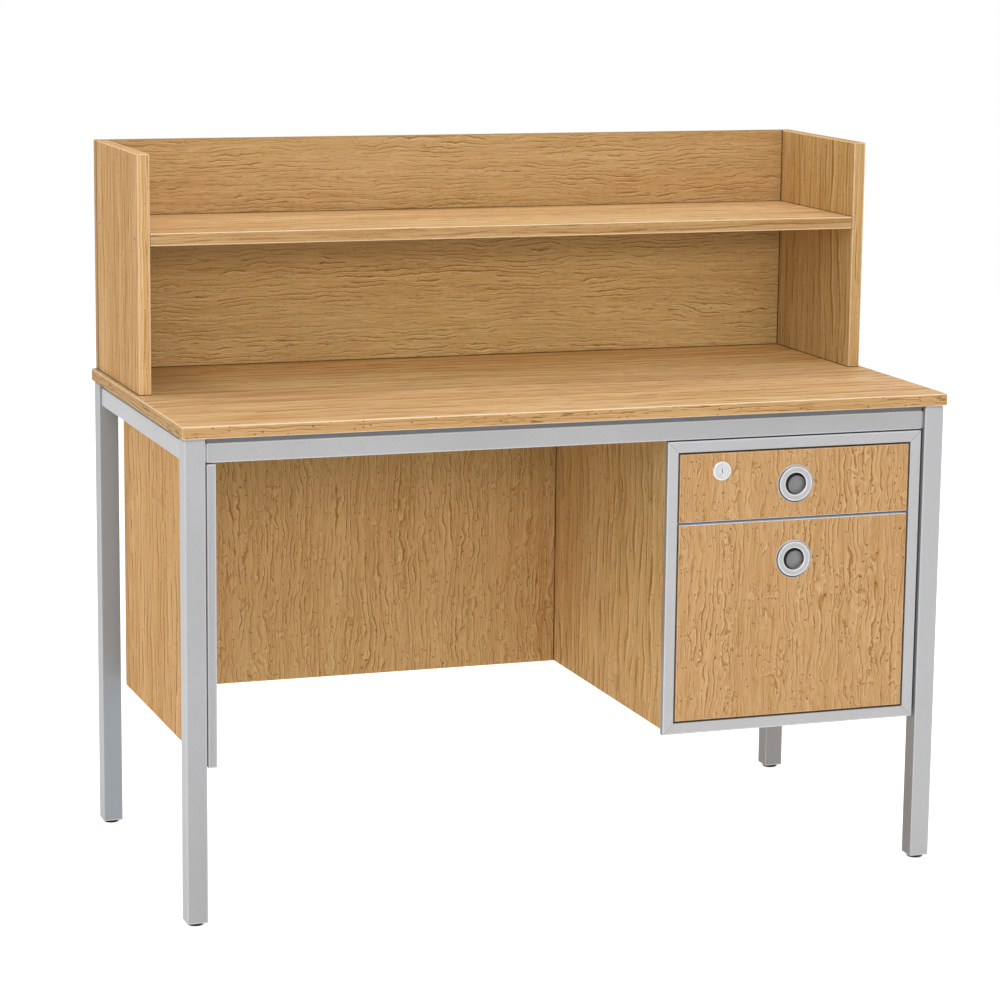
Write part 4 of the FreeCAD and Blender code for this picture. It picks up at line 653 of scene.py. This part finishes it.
# -------------------------------------------------------------------- hardware
zinc_y = steel("zinc_along_y", axis=1)
zinc_z = steel("zinc_turned", (0.58, 0.60, 0.63), 0.30, axis=2)
for node in ("slide_outer_members", "upper_slide_middle_members", "lower_slide_middle_members",
             "upper_slide_inner_members", "lower_slide_inner_members", "lower_file_rails", "lock_keeper"):
    paint(NODES[node], zinc_y)
for node in ("rail_screws", "hutch_bolts", "short_screws", "panel_brackets",
             "upper_front_screws", "lower_front_screws", "lock_nut", "lock_cam"):
    paint(NODES[node], zinc_z)

paint(NODES["hutch_pins"], steel("blued_pin", (0.16, 0.18, 0.22), 0.42, axis=0, metallic=0.5))

NAVY_SHADE = (0.030, 0.036, 0.050)
GLINT = (0.92, 0.93, 0.95)
# Pull rings: GLINT lines are painted highlights; a navy line strongest at the lower left is painted shade; the hole's
# edge is black at the top, painted shadow, and grey at the bottom, painted light. Pull cups: a painted shadow of the
# rim at the upper left and painted shading, darker to the left.
for tag, z in (("upper", 618.0), ("lower", 500.0)):
    c = at(968.0, 7.0, z)
    paint(NODES[tag + "_pull_ring"], turned_metal("satin_%s_pull_ring" % tag, c, (0.56, 0.56, 0.565), 0.34, 0.45, edges=(
        (0.0283, 0.0014, 0.92, NAVY_SHADE, (-0.8, -0.6, -0.35, 0.5)), (0.0258, 0.0012, 0.75, GLINT, None), (0.0180, 0.0014, 0.80, GLINT, None),
        (0.0296, 0.0008, 0.5, GLINT, None), (0.0164, 0.0014, 0.90, (0.05, 0.05, 0.05), (0.4, 0.9, -0.55, 0.1)),
        (0.0164, 0.0014, 0.55, (0.36, 0.36, 0.36), (-0.1, -1.0, 0.5, 0.9)))))
    paint(NODES[tag + "_pull_cup"], turned_metal("grey_%s_pull_cup" % tag, c, (0.36, 0.36, 0.362), 0.50, 0.20, rings=1500.0,
                                                shade_tilt=(0.9, -0.3, 0.016, 0.54, 1.12),
                                                rim_shadow=(0.0070, -0.0042, 0.0144, (0.004, 0.004, 0.004))))
# Lock housing: a painted highlight round its rim and two darker rings.
lock_c = at(845.0, 7.0, 643.5)
paint(NODES["lock_housing"], turned_metal("chrome_lock_housing", lock_c, (0.80, 0.81, 0.83), 0.24, 0.40, rings=1800.0, edges=(
    (0.0138, 0.0018, 0.90, GLINT, None), (0.0098, 0.0008, 0.30, (0.45, 0.45, 0.48), None), (0.0066, 0.0007, 0.35, (0.34, 0.34, 0.37), None))))
paint(NODES["lock_plug"], turned_metal("chrome_lock_plug", lock_c, (0.76, 0.765, 0.785), 0.26, 0.35, rings=1800.0))
paint(NODES["leg_end_caps"], plastic("pale_end_cap", (0.62, 0.62, 0.62), 0.45))
glide = plastic("black_glide", (0.022, 0.022, 0.023), 0.5, grain=500.0, depth=0.4, vary=0.2)
for tag in ("front_left", "front_right", "rear_left", "rear_right"):
    paint(NODES["glide_" + tag], glide)

# ---------------------------------------------------------------- drawer boxes
paint(NODES["upper_drawer_box"], birch("board_upper_box", 1, 1))
paint(NODES["lower_drawer_box"], birch("board_lower_box", 1, 2))
paint(NODES["upper_drawer_bottom"], birch("board_upper_bottom", 0, 3))
paint(NODES["lower_drawer_bottom"], birch("board_lower_bottom", 0, 4))

# ------------------------------------------------------------------------ stage
R = 11.0
bm = bmesh.new()
rings_n, seg = 8, 96
centre = bm.verts.new((0, 0, 0))
prev = None
for i in range(1, rings_n + 1):
    r = R * i / rings_n
    loop = [bm.verts.new((r * math.cos(2 * math.pi * k / seg), r * math.sin(2 * math.pi * k / seg), 0)) for k in range(seg)]
    for k in range(seg):
        if prev is None:
            bm.faces.new((centre, loop[k], loop[(k + 1) % seg]))
        else:
            bm.faces.new((prev[k], loop[k], loop[(k + 1) % seg], prev[(k + 1) % seg]))
    prev = loop
me = bpy.data.meshes.new("floor")
bm.to_mesh(me)
bm.free()
floor = bpy.data.objects.new("floor", me)
bpy.context.scene.collection.objects.link(floor)
g = Graph("floor_white")
obj = g.coord("Object")
dist = g.vmath("LENGTH", obj)
speck = g.noise(obj, scale=40.0, detail=2.0)
paler = g.make("ShaderNodeBsdfPrincipled")
for shader, glow in ((g.shader, 0.10), (paler, 0.68)):
    g.put(shader.inputs["Base Color"], g.colours(speck, [(0.3, (0.89, 0.89, 0.89, 1.0)), (0.7, (0.91, 0.91, 0.91, 1.0))]))
    shader.inputs["Roughness"].default_value = 0.85
    shader.inputs["Specular IOR Level"].default_value = 0.15
    shader.inputs["Emission Color"].default_value = (1.0, 1.0, 1.0, 1.0)
    shader.inputs["Emission Strength"].default_value = glow
lit = g.make("ShaderNodeMixShader")
g.nt.links.new(g.make("ShaderNodeLightPath").outputs["Is Camera Ray"], lit.inputs[0])
g.nt.links.new(g.shader.outputs[0], lit.inputs[1])
g.nt.links.new(paler.outputs[0], lit.inputs[2])
clear = g.make("ShaderNodeBsdfTransparent")
blend = g.make("ShaderNodeMixShader")
g.put(blend.inputs[0], g.ramp(dist, 2.2, 8.0))
g.nt.links.new(lit.outputs[0], blend.inputs[1])
g.nt.links.new(clear.outputs[0], blend.inputs[2])
g.nt.links.new(blend.outputs[0], g.out.inputs["Surface"])
paint(floor, g.mat)

world = bpy.data.worlds.new("studio")
bpy.context.scene.world = world
world.use_nodes = True
nt = world.node_tree
nt.nodes.clear()
out = nt.nodes.new("ShaderNodeOutputWorld")
bg = nt.nodes.new("ShaderNodeBackground")
bg.inputs["Color"].default_value = (1.0, 1.0, 1.0, 1.0)
bg.inputs["Strength"].default_value = 0.70
seen = nt.nodes.new("ShaderNodeBackground")
seen.inputs["Color"].default_value = (1.0, 1.0, 1.0, 1.0)
seen.inputs["Strength"].default_value = 1.0
path = nt.nodes.new("ShaderNodeLightPath")
pick = nt.nodes.new("ShaderNodeMixShader")
nt.links.new(path.outputs["Is Camera Ray"], pick.inputs[0])
nt.links.new(bg.outputs[0], pick.inputs[1])
nt.links.new(seen.outputs[0], pick.inputs[2])
nt.links.new(pick.outputs[0], out.inputs[0])


def soft_light(name, loc, target, size, power):
    data = bpy.data.lights.new(name, "AREA")
    data.shape = "RECTANGLE"
    data.size, data.size_y = size
    data.energy = power
    o = bpy.data.objects.new(name, data)
    bpy.context.scene.collection.objects.link(o)
    o.location = loc
    o.rotation_euler = (Vector(target) - Vector(loc)).to_track_quat("-Z", "Y").to_euler()
    return o


soft_light("key", (-1.2, -3.2, 3.6), (0.0, 0.0, 0.6), (2.6, 1.8), 19.0)
soft_light("top", (0.2, 0.3, 3.4), (0.0, 0.0, 0.7), (2.2, 2.2), 25.0)
soft_light("front", (-0.6, -5.0, 1.5), (0.0, 0.0, 0.7), (3.2, 1.8), 38.0)
soft_light("left", (-5.0, -1.6, 1.9), (0.0, 0.0, 0.7), (2.6, 2.0), 23.0)

# ----------------------------------------------------------------------- camera
YAW, PITCH, ROLL, FOCAL = 0.3373, -0.1845, 0.0109, 3251.31
fwd = Vector((math.sin(YAW) * math.cos(PITCH), math.cos(YAW) * math.cos(PITCH), math.sin(PITCH)))
right = Vector((math.cos(YAW), -math.sin(YAW), 0.0))
up = right.cross(fwd)
cam_x = math.cos(ROLL) * right + math.sin(ROLL) * up
cam_y = -math.sin(ROLL) * right + math.cos(ROLL) * up
cam_data = bpy.data.cameras.new("camera")
cam = bpy.data.objects.new("camera", cam_data)
bpy.context.scene.collection.objects.link(cam)
cam_data.sensor_width = 36.0
cam_data.sensor_fit = "HORIZONTAL"
cam_data.lens = FOCAL * 36.0 / 1000.0
cam_data.clip_end = 200.0
m = Matrix((cam_x, cam_y, -fwd)).transposed().to_4x4()
m.translation = at(-1089.02, -4484.10, 1505.42)
cam.matrix_world = m
bpy.context.scene.camera = cam

view = bpy.context.scene.view_settings
view.view_transform = "Standard"
view.look = "None"
view.exposure = 0.0
view.gamma = 1.0
